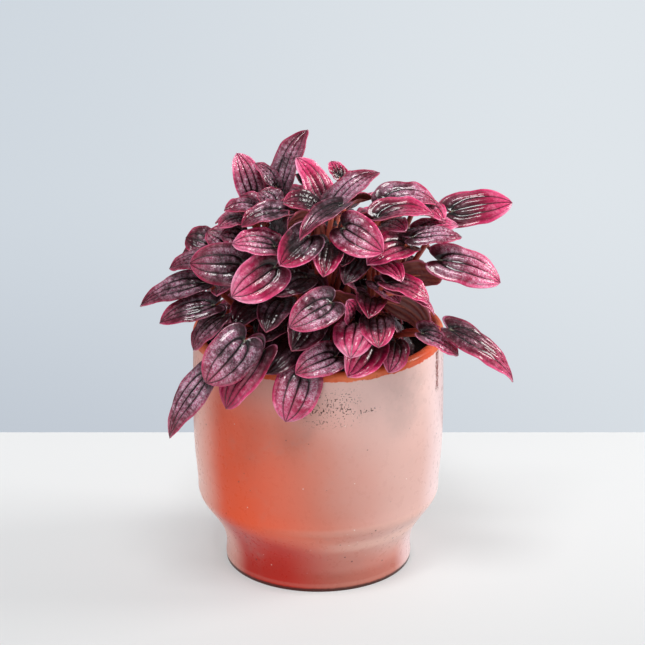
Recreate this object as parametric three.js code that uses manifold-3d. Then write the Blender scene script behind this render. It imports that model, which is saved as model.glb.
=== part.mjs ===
// A peperomia in a glazed pot: crowns of ribbed, heart-shaped leaves on red stalks, in soil.
// Millimetres, +Z up. The origin is the middle of the pot's foot, on the surface it stands on.
// -Y is the side that the fullest leaves look to.
import * as THREE from "three";
import { mergeVertices } from "three/addons/utils/BufferGeometryUtils.js";
import Module from "manifold-3d";

const wasm = await Module();
wasm.setup();

// Pot: an upright foot, a concave flare, a round shoulder and a nearly straight wall.
const potRadius = 65;
const potHeight = 129;
const potWall = 5;
const potFloor = 10;
const footRadius = 48.6;
const shoulderHeight = 40.5;
const potSides = 36;
const lipSteps = 3;
const guardSteps = 4;

// The pot's outline below its lip, and its hollow below the straight wall, as radius and height.
const outside = [
  [footRadius - 0.8, 0],
  [footRadius + 0.3, 1.5],
  [footRadius, 9],
  [footRadius + 1, 15],
  [51.4, 20],
  [53.4, 24],
  [56, 28],
  [58.8, 32],
  [61.4, 36],
  [63, shoulderHeight],
  [63.6, 47],
  [64.4, 58],
  [potRadius, 72],
];
const bowlTop = 56;
const bowl = [
  [57.5, 44],
  [51.5, 32],
  [45.5, 20],
  [43, potFloor + 2],
  [41, potFloor],
];

// Soil: a plug that fills the pot to a little below the rim.
const soilTop = 118;
const soilSwell = 3;
const soilGap = 0.3;
const soilInset = 0.7;
const soilSides = 36;

// Crowns: short thick stems, one in the middle and a ring of them round it.
const ringCrowns = ["front", "front_right", "back_right", "back", "back_left", "front_left"];
const ringRadius = 34;
const stemRadius = 6.5;
const stemDepth = 14;
const stemRise = 18;
const stemSides = 10;

// Blades and stalks
const bladeThickness = 0.9;
const largeBladeRows = [0.1, 0.32, 0.6, 0.85];
const smallBladeRows = [0.12, 0.42, 0.76];
const largeBladeWidth = 16.5;
const bladeColumns = [-1, 0, 1];
const widestAt = 0.36;
const bluntness = 1.39;
const lobeLength = 0.2;
const lobePeak = 4.2;
const waveHeight = 0.035;
const wavesAlong = 15;
const wavesAcross = 2;
const neighbourGap = 0.35;
const bladeRoom = 2;
const stalkRoom = 3;

// Stalks: the low leaves leave their stem at its foot, and the high ones near its top.
const stalkRadius = 1.15;
const stalkSteps = 3;
const lowRoot = { out: 4.5, up: 3 };
const highRoot = { out: 1.8, up: stemRise - 1.5 };
const stalkLean = 0.12;
const stalkRun = 0.3;
const longestRun = 14;
const stalkFoot = 0.5;
const alongMidrib = 0.4;
const leastAlongMidrib = 0.3;

// How leaves give way to each other
const settlePasses = 60;
const settleRoom = 2.2;
const mostPush = 5;
const near = 0.6;
const bladeEnds = 0.03;
const pastEdge = 1.1;
const listedGive = { reach: 3, turn: 8 };
const fillGive = { reach: 8, turn: 30 };
const settleRows = [0.06, 0.25, 0.5, 0.75, 0.97];
const settleColumns = [-0.95, -0.5, 0, 0.5, 0.95];

// The dome that the foliage fills
const domeCentre = new THREE.Vector3(0, 4, 118);
const domeRadii = new THREE.Vector3(80, 84, 88);
const faceFrom = new THREE.Vector3(0, 0, 95);

// The leaves that show from the front, as they stand on the plant:
// base x, y, z, tip x, y, z, width, turn about the midrib in degrees, cupping and arch.
const frontLeaves = [
  // upright ones along the top
  [-32, -10, 204, -40, -6, 226, 16, 20, 0.15, 0.1],
  [-22, -10, 209, -33, -4, 220, 13, 0, 0.1, 0.1],
  [-18, -5, 207, -6, 8, 234, 21, 0, 0.2, 0.08],
  [4, -27, 206, -9, -21, 230, 19, -5, 0.1, 0.1],
  [11, -13, 214, 7, -8, 222, 11, 0, 0.1, 0.1],
  [13, -13, 213, 19, -10, 218, 10, 0, 0.1, 0.1],
  [6, -35, 204, 30, -26, 223, 20, -5, 0.2, 0.12],
  [31, -17, 205, 41, -11, 213, 13, 0, 0.1, 0.1],
  // reaching out to the right
  [34, -22, 206, 60, -21, 206, 20, 12, 0.25, 0.15],
  [30, -39, 200, 58, -34, 200, 18, 0, 0.3, 0.15],
  [50, -15, 201, 63, -29, 198, 17, 15, 0.1, 0.1],
  [68, -8, 195, 99, -4, 199, 21, 30, -0.1, 0.05],
  [51, -30, 194, 71, -24, 195, 14, 0, 0.1, 0.1],
  [47, -42, 192, 72, -36, 191, 17, -8, -0.15, 0.1],
  [60, -40, 178, 92, -40, 169, 22, 10, -0.2, 0.15],
  [44, -39, 173, 63, -44, 174, 16, -90, 0.1, 0.1],
  [66, -50, 147, 100, -44, 117, 21, -10, -0.15, 0.12],
  [52, -53, 146, 71, -51, 134, 17, -15, 0.15, 0.1],
  [34, -55, 174, 55, -57, 163, 18, -20, 0.15, 0.15],
  [36, -53, 168, 59, -54, 158, 15, -20, 0.15, 0.15],
  [29, -41, 167, 41, -53, 161, 12, 0, 0.1, 0.1],
  [32, -46, 160, 56, -48, 145, 21, -100, 0.1, 0.15],
  // over the front
  [17, -53, 152, 16, -77, 146, 22, 10, -0.15, 0.12],
  [29, -52, 152, 30, -73, 145, 18, 10, -0.1, 0.1],
  [17, -56, 154, 15, -63, 170, 12, 10, -0.1, 0.1],
  [6, -64, 167, -14, -76, 159, 20, -20, 0.15, 0.12],
  [-22, -57, 185, -43, -67, 172, 23, -35, 0.25, 0.05],
  [-38, -49, 182, -64, -49, 182, 22, -40, 0.15, 0.12],
  [-53, -41, 180, -75, -39, 176, 16, 0, 0.1, 0.1],
  [-56, -29, 179, -69, -25, 180, 16, -10, 0.3, 0.1],
  [-55, -27, 184, -67, -22, 186, 16, -10, 0.3, 0.1],
  [-46, -31, 186, -56, -26, 191, 17, 0, 0.3, 0.1],
  [-38, -31, 189, -49, -30, 190, 17, 0, 0.1, 0.1],
  [-33, -26, 194, -50, -38, 197, 16, -10, 0.1, 0.1],
  [-22, -54, 192, -43, -54, 194, 17, 5, 0.2, 0.12],
  [-29, -29, 200, -47, -36, 206, 16, -10, 0.25, 0.1],
  [-16, -44, 205, -37, -50, 201, 16, 10, 0.35, 0.1],
  [-31, -26, 203, -39, -19, 208, 15, 0, 0.3, 0.1],
  [-22, -27, 205, -30, -22, 210, 15, 0, 0.3, 0.1],
  [-6, -34, 207, -22, -37, 208, 14, 65, 0.2, 0.1],
  [-2, -37, 205, -18, -47, 211, 16, -5, 0.2, 0.1],
  [2, -44, 205, -17, -50, 206, 15, 70, 0.3, 0.1],
  [-20, -46, 194, -16, -50, 213, 17, -10, 0.2, 0.1],
  [13, -46, 210, -9, -64, 200, 15, 5, 0.2, 0.12],
  [-2, -21, 202, -11, -21, 220, 15, -5, 0.1, 0.1],
  [-5, -56, 198, -19, -69, 189, 19, -20, 0.5, 0.05],
  [6, -53, 196, 3, -71, 186, 16, 5, 0.45, 0.05],
  [13, -54, 203, 32, -66, 195, 21, 35, 0.2, 0.1],
  [44, -42, 191, 25, -60, 189, 19, 15, 0.2, 0.15],
  [27, -44, 183, 42, -58, 178, 17, 0, 0.1, 0.15],
  [32, -26, 191, 43, -42, 195, 16, 15, 0.1, 0.1],
  [16, -46, 166, 13, -60, 179, 13, -10, 0.1, 0.1],
  [15, -47, 164, 1, -60, 171, 14, 60, 0.1, 0.1],
  [27, -44, 164, 25, -63, 161, 16, 20, 0.4, 0.1],
  [-6, -53, 174, -22, -66, 170, 17, 0, 0.2, 0.1],
  [-10, -47, 174, 4, -63, 175, 16, -10, 0.3, 0.1],
  [-30, -42, 158, -42, -61, 154, 18, -10, 0.35, 0.1],
  [-18, -50, 162, -26, -69, 154, 18, -5, 0.35, 0.1],
  [-17, -45, 148, -30, -62, 145, 17, 0, 0.2, 0.1],
  [-5, -52, 152, -13, -73, 145, 20, -15, 0.35, 0.1],
  [9, -64, 139, -11, -74, 134, 18, 15, 0.3, 0.1],
  // hanging over the rim
  [-7, -66, 132, -16, -75, 108, 24, -5, -0.15, 0.1],
  [-36, -64, 147, -55, -72, 127, 25, -30, -0.1, 0.12],
  [-27, -66, 142, -47, -71, 113, 23, 0, 0.1, 0.1],
  [-54, -61, 129, -76, -62, 93, 19, 0, -0.1, 0.1],
  [-47, -56, 157, -63, -59, 140, 17, 10, 0.15, 0.1],
  [-40, -42, 144, -52, -60, 144, 18, -10, 0.1, 0.1],
  [-56, -46, 169, -90, -42, 157, 18, 10, 0.1, 0.1],
  [-53, -53, 164, -80, -57, 155, 17, 5, 0.15, 0.1],
  [-41, -36, 161, -50, -53, 165, 16, -10, 0.1, 0.1],
  [-12, -50, 144, -26, -69, 131, 20, -10, 0.1, 0.1],
  [24, -51, 141, 16, -74, 133, 22, 5, 0.4, 0.05],
  [40, -46, 140, 37, -61, 130, 16, 15, 0.1, 0.1],
  [16, -41, 191, 12, -61, 186, 15, 10, 0.1, 0.1],
  [22, -44, 184, 13, -62, 175, 15, 10, 0.1, 0.1],
  [-30, -27, 184, -40, -46, 187, 16, 0, 0.1, 0.1],
];

// The rest is filled by turning the golden angle from leaf to leaf: a coat round the back and the
// sides, which hangs over the rim only at the back and is tucked in, inside the rim, at the sides.
// Angles are heights over the middle of the dome. Pairs are the bounds of a draw.
const goldenAngle = 137.508;
const outerCoat = {
  seed: 71,
  turns: 104,
  spacing: 16,
  frontEdge: -28,
  crownHeight: 84,
  sideHem: 8,
  backHem: -6,
  tuckBelow: 50,
  tuckOver: 38,
  tuck: 0.27,
  stray: [-8, 8],
  rise: [-5, 5],
  layer: [0.92, 1],
  baseDepth: 0.86,
  droop: [14, 26],
  width: [17, 23],
  turn: [-25, 25],
  cup: [-0.15, 0.3],
  arch: [0.06, 0.15],
  mostStrain: 5,
  overRim: 5,
};

// A seeded draw between two bounds.
function drawFrom(seed) {
  let state = seed;
  return (low, high) => {
    state = (state * 16807) % 2147483647;
    return low + ((high - low) * state) / 2147483647;
  };
}

const radians = THREE.MathUtils.degToRad;

function onDome(azimuth, height, layer) {
  const flat = Math.cos(radians(height));
  return new THREE.Vector3(
    Math.cos(radians(azimuth)) * flat * domeRadii.x * layer,
    Math.sin(radians(azimuth)) * flat * domeRadii.y * layer,
    Math.sin(radians(height)) * domeRadii.z * layer,
  ).add(domeCentre);
}

// The leaf's own axes: along the midrib, across it, and out of the upper face.
function framed(leaf) {
  const along = leaf.tip.clone().sub(leaf.base);
  leaf.length = along.length();
  leaf.along = along.normalize();
  const middle = leaf.base.clone().lerp(leaf.tip, 0.5);
  const outward = middle.clone().sub(faceFrom);
  outward.addScaledVector(leaf.along, -outward.dot(leaf.along)).normalize();
  leaf.face = outward.applyAxisAngle(leaf.along, radians(leaf.turn));
  leaf.across = leaf.along.clone().cross(leaf.face);
  leaf.middle = middle;
  return leaf;
}

function listedLeaves() {
  return frontLeaves.map((row) =>
    framed({
      base: new THREE.Vector3(row[0], row[1], row[2]),
      tip: new THREE.Vector3(row[3], row[4], row[5]),
      width: row[6],
      turn: row[7],
      cup: row[8],
      arch: row[9],
      give: listedGive,
    }),
  );
}

// How far the pot would push the blade out of its shape.
function strain(leaf) {
  const pushed = settleRows.flatMap((u) =>
    settleColumns.map((v) => bladePoint(leaf, u, v, 0).distanceTo(rawBladePoint(leaf, u, v))),
  );
  return Math.max(...pushed);
}

// Leaves of a coat, at the golden angle from each other, where no other leaf is near.
function fillLeaves(taken, coat) {
  const draw = drawFrom(coat.seed);
  const made = [];
  for (let k = 0; k < coat.turns; k++) {
    const azimuth = k * goldenAngle + draw(...coat.stray);
    const behind = Math.max(0, Math.sin(radians(azimuth))) ** 2;
    const hem = coat.sideHem + (coat.backHem - coat.sideHem) * behind;
    const fall = Math.sqrt((k + 0.5) / coat.turns);
    const height = coat.crownHeight - (coat.crownHeight - hem) * fall + draw(...coat.rise);
    const low = THREE.MathUtils.clamp((coat.tuckBelow - height) / coat.tuckOver, 0, 1);
    const layer = draw(...coat.layer) * (1 - coat.tuck * low * (1 - behind));
    const droop = draw(...coat.droop);
    const leaf = framed({
      base: onDome(azimuth, height + droop / 2, layer * coat.baseDepth),
      tip: onDome(azimuth + draw(...coat.stray), height - droop / 2, layer),
      width: draw(...coat.width),
      turn: draw(...coat.turn),
      cup: draw(...coat.cup),
      arch: draw(...coat.arch),
      give: fillGive,
    });
    const crowded = [...taken, ...made].some((other) => other.middle.distanceTo(leaf.middle) < coat.spacing);
    const hangsFree = leaf.base.z > potHeight + coat.overRim && strain(leaf) < coat.mostStrain;
    if (leaf.middle.y > coat.frontEdge && hangsFree && !crowded) made.push(leaf);
  }
  return made;
}

function allLeaves() {
  const listed = listedLeaves();
  return settle([...listed, ...fillLeaves(listed, outerCoat)]);
}

// Half the blade's width along it, as a share of the widest.
const outline = (u) =>
  Math.pow(u / widestAt, widestAt * bluntness) *
  Math.pow((1 - u) / (1 - widestAt), (1 - widestAt) * bluntness);

// How far the lobes beside the stalk reach back, at most lobeLength of the blade.
const lobes = (u) => lobePeak * lobeLength * Math.sqrt(u) * Math.pow(1 - u, 3);

// The blade's rise over the flat between its base and tip: arch, cupping and waved edges.
function bladeHeight(leaf, u, v) {
  const arch = leaf.length * leaf.arch * 4 * u * (1 - u);
  const wave = waveHeight * leaf.width * Math.sin(wavesAlong * u + wavesAcross * v);
  return arch + ((leaf.cup * leaf.width) / 2 + wave) * v * v * outline(u);
}

function rawBladePoint(leaf, u, v) {
  return leaf.base
    .clone()
    .addScaledVector(leaf.along, leaf.length * (u - lobes(u) * v * v))
    .addScaledVector(leaf.across, (leaf.width / 2) * v * outline(u))
    .addScaledVector(leaf.face, bladeHeight(leaf, u, v));
}

function bladePoint(leaf, u, v, side) {
  return clearOfPot(rawBladePoint(leaf, u, v), bladeRoom).addScaledVector(leaf.face, side);
}

// Moves a point of the foliage off the rim, the wall and the soil, to leave at least this much room.
function clearOfPot(point, room) {
  const reach = Math.hypot(point.x, point.y);
  const lipRadius = potRadius - potWall / 2;
  const lipHeight = potHeight - potWall / 2;
  const keep = potWall / 2 + room;
  let out = reach;
  let up = point.z;
  const off = Math.hypot(reach - lipRadius, up - lipHeight);
  if (off < keep) {
    out = lipRadius + ((reach - lipRadius) * keep) / off;
    up = lipHeight + ((up - lipHeight) * keep) / off;
  }
  if (up < lipHeight && Math.abs(out - lipRadius) < keep) {
    out = lipRadius + (out < lipRadius ? -keep : keep);
  }
  if (up < soilTop + soilSwell + room && out < lipRadius) up = soilTop + soilSwell + room;
  const scale = reach > 0 ? out / reach : 1;
  return point.set(point.x * scale, point.y * scale, up);
}

function solidFrom(geometry) {
  const bare = geometry.index ? geometry.toNonIndexed() : geometry.clone();
  bare.deleteAttribute("normal");
  bare.deleteAttribute("uv");
  const merged = mergeVertices(bare, 1e-3);
  return new wasm.Manifold(
    new wasm.Mesh({
      numProp: 3,
      vertProperties: merged.attributes.position.array,
      triVerts: new Uint32Array(merged.index.array),
    }),
  );
}

function geometryFrom(solid) {
  const mesh = solid.getMesh();
  const geometry = new THREE.BufferGeometry();
  geometry.setAttribute("position", new THREE.BufferAttribute(mesh.vertProperties, 3));
  geometry.setIndex(new THREE.BufferAttribute(mesh.triVerts, 1));
  geometry.computeVertexNormals();
  return geometry;
}

// Where a point lies over a blade: along it, across it, and how high over its upper face.
function overBlade(leaf, point) {
  const from = point.clone().sub(leaf.base);
  const along = from.dot(leaf.along) / leaf.length;
  if (along < -lobeLength / 2 || along > 1) return null;
  const across = from.dot(leaf.across);
  const onBlade = (share) => THREE.MathUtils.clamp(share, bladeEnds, 1 - bladeEnds);
  const sideways = (share) => across / ((leaf.width / 2) * outline(share));
  const u = onBlade(along + lobes(onBlade(along)) * Math.min(1, sideways(onBlade(along)) ** 2));
  const v = sideways(u);
  if (Math.abs(v) > pastEdge) return null;
  return { u, v, height: from.dot(leaf.face) - bladeHeight(leaf, u, v) };
}

// Bends leaves clear of each other: each point of a blade that is on the wrong side of a neighbour,
// or too close to it, turns and shifts both of them a little.
function settle(leaves) {
  leaves.forEach((leaf) => {
    leaf.homeBase = leaf.base.clone();
    leaf.homeTip = leaf.tip.clone();
    leaf.homeTurn = leaf.turn;
  });
  for (let pass = 0; pass < settlePasses; pass++) {
    const moves = leaves.map(() => {
      return { base: new THREE.Vector3(), tip: new THREE.Vector3(), turn: 0, count: 0 };
    });
    const push = (i, way, depth, u, v) => {
      const leaf = leaves[i];
      moves[i].base.addScaledVector(way, depth * (1 - u));
      moves[i].tip.addScaledVector(way, depth * u);
      moves[i].turn += (way.dot(leaf.face) * depth * v) / (leaf.width / 2);
      moves[i].count++;
    };
    const samples = leaves.map((leaf) =>
      settleRows.flatMap((u) => settleColumns.map((v) => ({ u, v, point: rawBladePoint(leaf, u, v) }))),
    );
    leaves.forEach((leaf, i) => {
      leaves.forEach((other, j) => {
        if (i === j || leaf.middle.distanceTo(other.middle) > near * (leaf.length + other.length)) return;
        const over = [];
        for (const { u, v, point } of samples[i]) {
          const found = overBlade(other, point);
          if (found) over.push({ mine: { u, v }, yours: found });
        }
        const total = over.reduce((sum, { yours }) => sum + yours.height, 0);
        const way = total < 0 ? -1 : 1;
        for (const { mine, yours } of over) {
          const depth = Math.min(mostPush, settleRoom - way * yours.height);
          if (depth <= 0) continue;
          const share = leaf.give.reach / (leaf.give.reach + other.give.reach);
          push(i, other.face, way * depth * share, mine.u, mine.v);
          push(j, other.face, -way * depth * (1 - share), yours.u, yours.v);
        }
      });
    });
    leaves.forEach((leaf, i) => {
      const { base, tip, turn, count } = moves[i];
      const mean = 1 / Math.max(1, count);
      leaf.base.addScaledVector(base, mean);
      leaf.tip.addScaledVector(tip, mean);
      leaf.turn += THREE.MathUtils.radToDeg(turn * mean);
      leaf.base.sub(leaf.homeBase).clampLength(0, leaf.give.reach).add(leaf.homeBase);
      leaf.tip.sub(leaf.homeTip).clampLength(0, leaf.give.reach).add(leaf.homeTip);
      const turned = THREE.MathUtils.clamp(leaf.turn - leaf.homeTurn, -leaf.give.turn, leaf.give.turn);
      leaf.turn = leaf.homeTurn + turned;
      framed(leaf);
    });
  }
  return leaves;
}

// The rings of the stalk, from its root to the blade: middle, across and up at each.
function stalkRings(leaf, crown) {
  const lean = leaf.base.clone().sub(crown.top).setZ(0);
  const out = THREE.MathUtils.lerp(lowRoot.out, highRoot.out, leaf.order);
  const start = crown.top.clone().add(lean.clone().setLength(out));
  start.z = soilTop + THREE.MathUtils.lerp(lowRoot.up, highRoot.up, leaf.order);
  const end = bladePoint(leaf, 0, 0, 0);
  const span = start.distanceTo(end);
  const arrive = end.clone().sub(start).normalize().addScaledVector(leaf.along, alongMidrib).normalize();
  arrive.addScaledVector(leaf.along, Math.max(0, leastAlongMidrib - arrive.dot(leaf.along))).normalize();
  const bend = new THREE.CubicBezierCurve3(
    start,
    start.clone().add(new THREE.Vector3(lean.x * stalkLean, lean.y * stalkLean, span * stalkRun)),
    end.clone().addScaledVector(arrive, -Math.min(longestRun, span * stalkRun)),
    end,
  );
  const centres = bend.getPoints(stalkSteps);
  for (let i = 1; i < stalkSteps; i++) clearOfPot(centres[i], stalkRoom);
  const rings = [];
  let across = leaf.across.clone();
  for (let i = stalkSteps - 1; i >= 0; i--) {
    const way = centres[i + 1].clone().sub(centres[Math.max(0, i - 1)]).normalize();
    across = across.addScaledVector(way, -across.dot(way)).normalize();
    rings.unshift({ middle: centres[i], across: across.clone(), up: across.clone().cross(way) });
  }
  return rings;
}

// One leaf with its stalk, as one closed skin: two like-split faces, the edge between them, and the
// stalk's four sides, which run into the blade between its lobes. extra makes it fatter all over.
function leafSolid(leaf, crown, extra = 0) {
  const half = bladeThickness / 2 + extra;
  const thick = stalkRadius + extra;
  const wide = { ...leaf, width: leaf.width + 2 * extra };
  const rows = leaf.width > largeBladeWidth ? largeBladeRows : smallBladeRows;
  const positions = [];
  const index = [];
  const put = (point) => positions.push(point.x, point.y, point.z) / 3 - 1;
  const top = rows.map((u) => bladeColumns.map((v) => put(bladePoint(wide, u, v, half))));
  const under = rows.map((u) => bladeColumns.map((v) => put(bladePoint(wide, u, v, -half))));
  const tipTop = put(bladePoint(wide, 1, 0, half));
  const tipUnder = put(bladePoint(wide, 1, 0, -half));
  const seat = bladePoint(wide, 0, 0, 0);
  const seatRing = [
    put(seat.clone().addScaledVector(leaf.across, -thick)),
    put(seat.clone().addScaledVector(leaf.face, half)),
    put(seat.clone().addScaledVector(leaf.across, thick)),
    put(seat.clone().addScaledVector(leaf.face, -half)),
  ];
  const rings = stalkRings(leaf, crown).map(({ middle, across, up }) => [
    put(middle.clone().addScaledVector(across, -thick)),
    put(middle.clone().addScaledVector(up, thick)),
    put(middle.clone().addScaledVector(across, thick)),
    put(middle.clone().addScaledVector(up, -thick)),
  ]);
  rings.push(seatRing);
  const last = bladeColumns.length - 1;
  const end = rows.length - 1;
  for (let r = 0; r < end; r++) {
    for (let c = 0; c < last; c++) {
      index.push(top[r][c], top[r + 1][c + 1], top[r + 1][c], top[r][c], top[r][c + 1], top[r + 1][c + 1]);
      index.push(under[r][c], under[r + 1][c], under[r + 1][c + 1]);
      index.push(under[r][c], under[r + 1][c + 1], under[r][c + 1]);
    }
    index.push(top[r][0], top[r + 1][0], under[r + 1][0], top[r][0], under[r + 1][0], under[r][0]);
    index.push(top[r][last], under[r][last], under[r + 1][last]);
    index.push(top[r][last], under[r + 1][last], top[r + 1][last]);
  }
  const [west, crest, east, keel] = seatRing;
  for (let c = 0; c < last; c++) {
    index.push(crest, top[0][c + 1], top[0][c], keel, under[0][c], under[0][c + 1]);
    index.push(top[end][c], top[end][c + 1], tipTop, under[end][c], tipUnder, under[end][c + 1]);
  }
  index.push(west, crest, top[0][0], crest, east, top[0][last], west, under[0][0], keel);
  index.push(keel, under[0][last], east, top[0][0], under[0][0], west, top[0][last], east, under[0][last]);
  index.push(top[end][0], tipTop, tipUnder, top[end][0], tipUnder, under[end][0]);
  index.push(top[end][last], tipUnder, tipTop, top[end][last], under[end][last], tipUnder);
  for (let k = 0; k < rings.length - 1; k++) {
    for (let side = 0; side < 4; side++) {
      const next = (side + 1) % 4;
      index.push(rings[k][side], rings[k][next], rings[k + 1][next]);
      index.push(rings[k][side], rings[k + 1][next], rings[k + 1][side]);
    }
  }
  index.push(rings[0][0], rings[0][3], rings[0][2], rings[0][0], rings[0][2], rings[0][1]);
  const geometry = new THREE.BufferGeometry();
  geometry.setAttribute("position", new THREE.Float32BufferAttribute(positions, 3));
  geometry.setIndex(index);
  return solidFrom(geometry);
}

function latheSolid(profile, sides) {
  const geometry = new THREE.LatheGeometry(
    profile.map(([r, z]) => new THREE.Vector2(r, z)),
    sides,
  );
  return solidFrom(geometry.rotateX(Math.PI / 2));
}

function stemProfile(grow) {
  return [
    [0, soilTop - stemDepth - grow],
    [stemRadius - 1 + grow, soilTop - stemDepth - grow],
    [stemRadius + grow, soilTop],
    [stemRadius - 1 + grow, soilTop + stemRise - 2],
    [stemRadius - 3 + grow, soilTop + stemRise],
    [0, soilTop + stemRise + grow],
  ];
}

function placedStem(crown, grow = 0) {
  return latheSolid(stemProfile(grow), stemSides).translate([crown.top.x, crown.top.y, 0]);
}

function potSolid() {
  const innerRadius = potRadius - potWall;
  const lipRadius = potWall / 2;
  const lip = [];
  for (let i = 0; i <= lipSteps; i++) {
    const angle = (i / lipSteps) * Math.PI;
    lip.push([
      potRadius - lipRadius + lipRadius * Math.cos(angle),
      potHeight - lipRadius + lipRadius * Math.sin(angle),
    ]);
  }
  return latheSolid([[0, 0], ...outside, ...lip, [innerRadius, bowlTop], ...bowl, [0, potFloor]], potSides);
}

// The rim and wall with room round them, which no foliage may enter.
function rimGuard() {
  const middle = potRadius - potWall / 2;
  const half = potWall / 2 + neighbourGap;
  const low = potHeight / 2;
  const round = [];
  for (let i = 0; i <= guardSteps; i++) {
    const angle = (i / guardSteps) * Math.PI;
    round.push([middle + half * Math.cos(angle), potHeight - potWall / 2 + half * Math.sin(angle)]);
  }
  return latheSolid([[middle + half, low], ...round, [middle - half, low], [middle + half, low]], potSides);
}

function soilSolid(crowns) {
  const edge = potRadius - potWall - soilInset;
  const against = bowl.map(([r, z]) => [r - soilInset, z + soilGap]).reverse();
  const plug = latheSolid(
    [
      [0, potFloor + soilGap],
      ...against,
      [edge, bowlTop + soilGap],
      [edge, soilTop - 2],
      [edge - 4, soilTop],
      [0.65 * edge, soilTop + soilSwell / 3],
      [0.35 * edge, soilTop + soilSwell * 0.6],
      [0, soilTop + soilSwell * 0.8],
    ],
    soilSides,
  );
  return crowns.reduce((soil, crown) => soil.subtract(placedStem(crown, soilGap)), plug);
}

function crownList() {
  const crowns = [{ name: "crown_middle", top: new THREE.Vector3(0, 0, soilTop + stemRise) }];
  ringCrowns.forEach((place, i) => {
    const angle = radians(-90 + (360 * i) / ringCrowns.length);
    const top = new THREE.Vector3(Math.cos(angle), Math.sin(angle), 0).multiplyScalar(ringRadius);
    crowns.push({ name: "crown_" + place, top: top.setZ(soilTop + stemRise) });
  });
  return crowns;
}

// The crown whose stem stands nearest to the foot of the leaf's stalk.
function crownOf(leaf, crowns) {
  const foot = leaf.base.clone().multiplyScalar(stalkFoot);
  const far = (crown) => Math.hypot(crown.top.x - foot.x, crown.top.y - foot.y);
  return crowns.reduce((best, crown) => (far(crown) < far(best) ? crown : best));
}

// Low leaves leave their stem near the soil and high ones near its top.
function orderStalks(leaves, crowns) {
  crowns.forEach((crown) => {
    const own = leaves.filter((leaf) => leaf.crown === crown).sort((a, b) => a.base.z - b.base.z);
    own.forEach((leaf, i) => (leaf.order = (i + 0.5) / own.length));
  });
}

const biggest = (solid) =>
  solid.decompose().reduce((best, body) => (body.volume() > best.volume() ? body : best));

// One solid for each crown: its stem with its leaves. A leaf gives way to the leaves of other crowns
// that come before it, and a loose scrap is dropped.
function crownSolids(crowns) {
  const leaves = allLeaves();
  leaves.forEach((leaf) => (leaf.crown = crownOf(leaf, crowns)));
  orderStalks(leaves, crowns);
  const solids = leaves.map((leaf) => leafSolid(leaf, leaf.crown));
  const grown = leaves.map((leaf) => leafSolid(leaf, leaf.crown, neighbourGap));
  const guard = rimGuard();
  return crowns.map((crown) => {
    let solid = placedStem(crown);
    leaves.forEach((leaf, i) => {
      if (leaf.crown !== crown) return;
      let own = solids[i];
      leaves.forEach((other, j) => {
        if (j >= i || other.crown === crown) return;
        if (own.intersect(grown[j]).volume() > 0) own = own.subtract(grown[j]);
      });
      solid = solid.add(own);
    });
    return { crown, solid: biggest(solid.subtract(guard)) };
  });
}

const glaze = new THREE.MeshStandardMaterial({ color: 0xdf9f8d, roughness: 0.25, metalness: 0 });
const earth = new THREE.MeshStandardMaterial({ color: 0x2a211c, roughness: 0.95, metalness: 0 });
const leafy = new THREE.MeshStandardMaterial({ color: 0x8a3358, roughness: 0.4, metalness: 0 });

function named(name, solid, material) {
  const mesh = new THREE.Mesh(geometryFrom(solid), material);
  mesh.name = name;
  return mesh;
}

const plant = new THREE.Group();
const crowns = crownList();
plant.add(named("pot", potSolid(), glaze));
plant.add(named("soil", soilSolid(crowns), earth));
for (const { crown, solid } of crownSolids(crowns)) {
  plant.add(named(crown.name, solid, leafy));
}

export default plant;
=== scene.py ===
import math
import bpy
import numpy as np
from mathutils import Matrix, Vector, noise


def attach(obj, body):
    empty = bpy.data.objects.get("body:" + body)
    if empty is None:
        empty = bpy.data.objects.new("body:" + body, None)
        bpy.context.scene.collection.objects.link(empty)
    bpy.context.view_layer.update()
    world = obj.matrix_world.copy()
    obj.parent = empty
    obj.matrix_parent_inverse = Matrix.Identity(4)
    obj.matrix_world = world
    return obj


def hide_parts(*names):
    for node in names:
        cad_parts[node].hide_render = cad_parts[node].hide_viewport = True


# A peperomia in a glazed pot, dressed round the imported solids: every leaf with its veins and puckers,
# fleshy stalks, crumbly soil and a glazed pot. Leaf places are in millimetres and become metres in mm().

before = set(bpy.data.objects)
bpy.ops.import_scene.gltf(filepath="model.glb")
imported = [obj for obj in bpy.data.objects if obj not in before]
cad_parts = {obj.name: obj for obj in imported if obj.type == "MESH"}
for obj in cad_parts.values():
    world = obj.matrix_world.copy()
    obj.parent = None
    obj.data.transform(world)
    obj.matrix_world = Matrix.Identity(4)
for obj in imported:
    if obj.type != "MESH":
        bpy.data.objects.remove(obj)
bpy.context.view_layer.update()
print("frame loaded:", len(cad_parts), "nodes")


def mm(value):
    return value * 0.001


def rgb(red, green, blue):
    # screen colour, 0 to 255, to the linear colour that the shaders use
    def linear(part):
        part = part / 255
        return part / 12.92 if part <= 0.04045 else ((part + 0.055) / 1.055) ** 2.4
    return (linear(red), linear(green), linear(blue), 1.0)


def mathWay(operation, turned=False):
    # an operator that adds a Math node, or its reflected form
    def act(self, other=0.0):
        values = {0: other, 1: self} if turned else {0: self, 1: other}
        return self.paint.node("ShaderNodeMath", {"operation": operation}, values)
    return act


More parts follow.
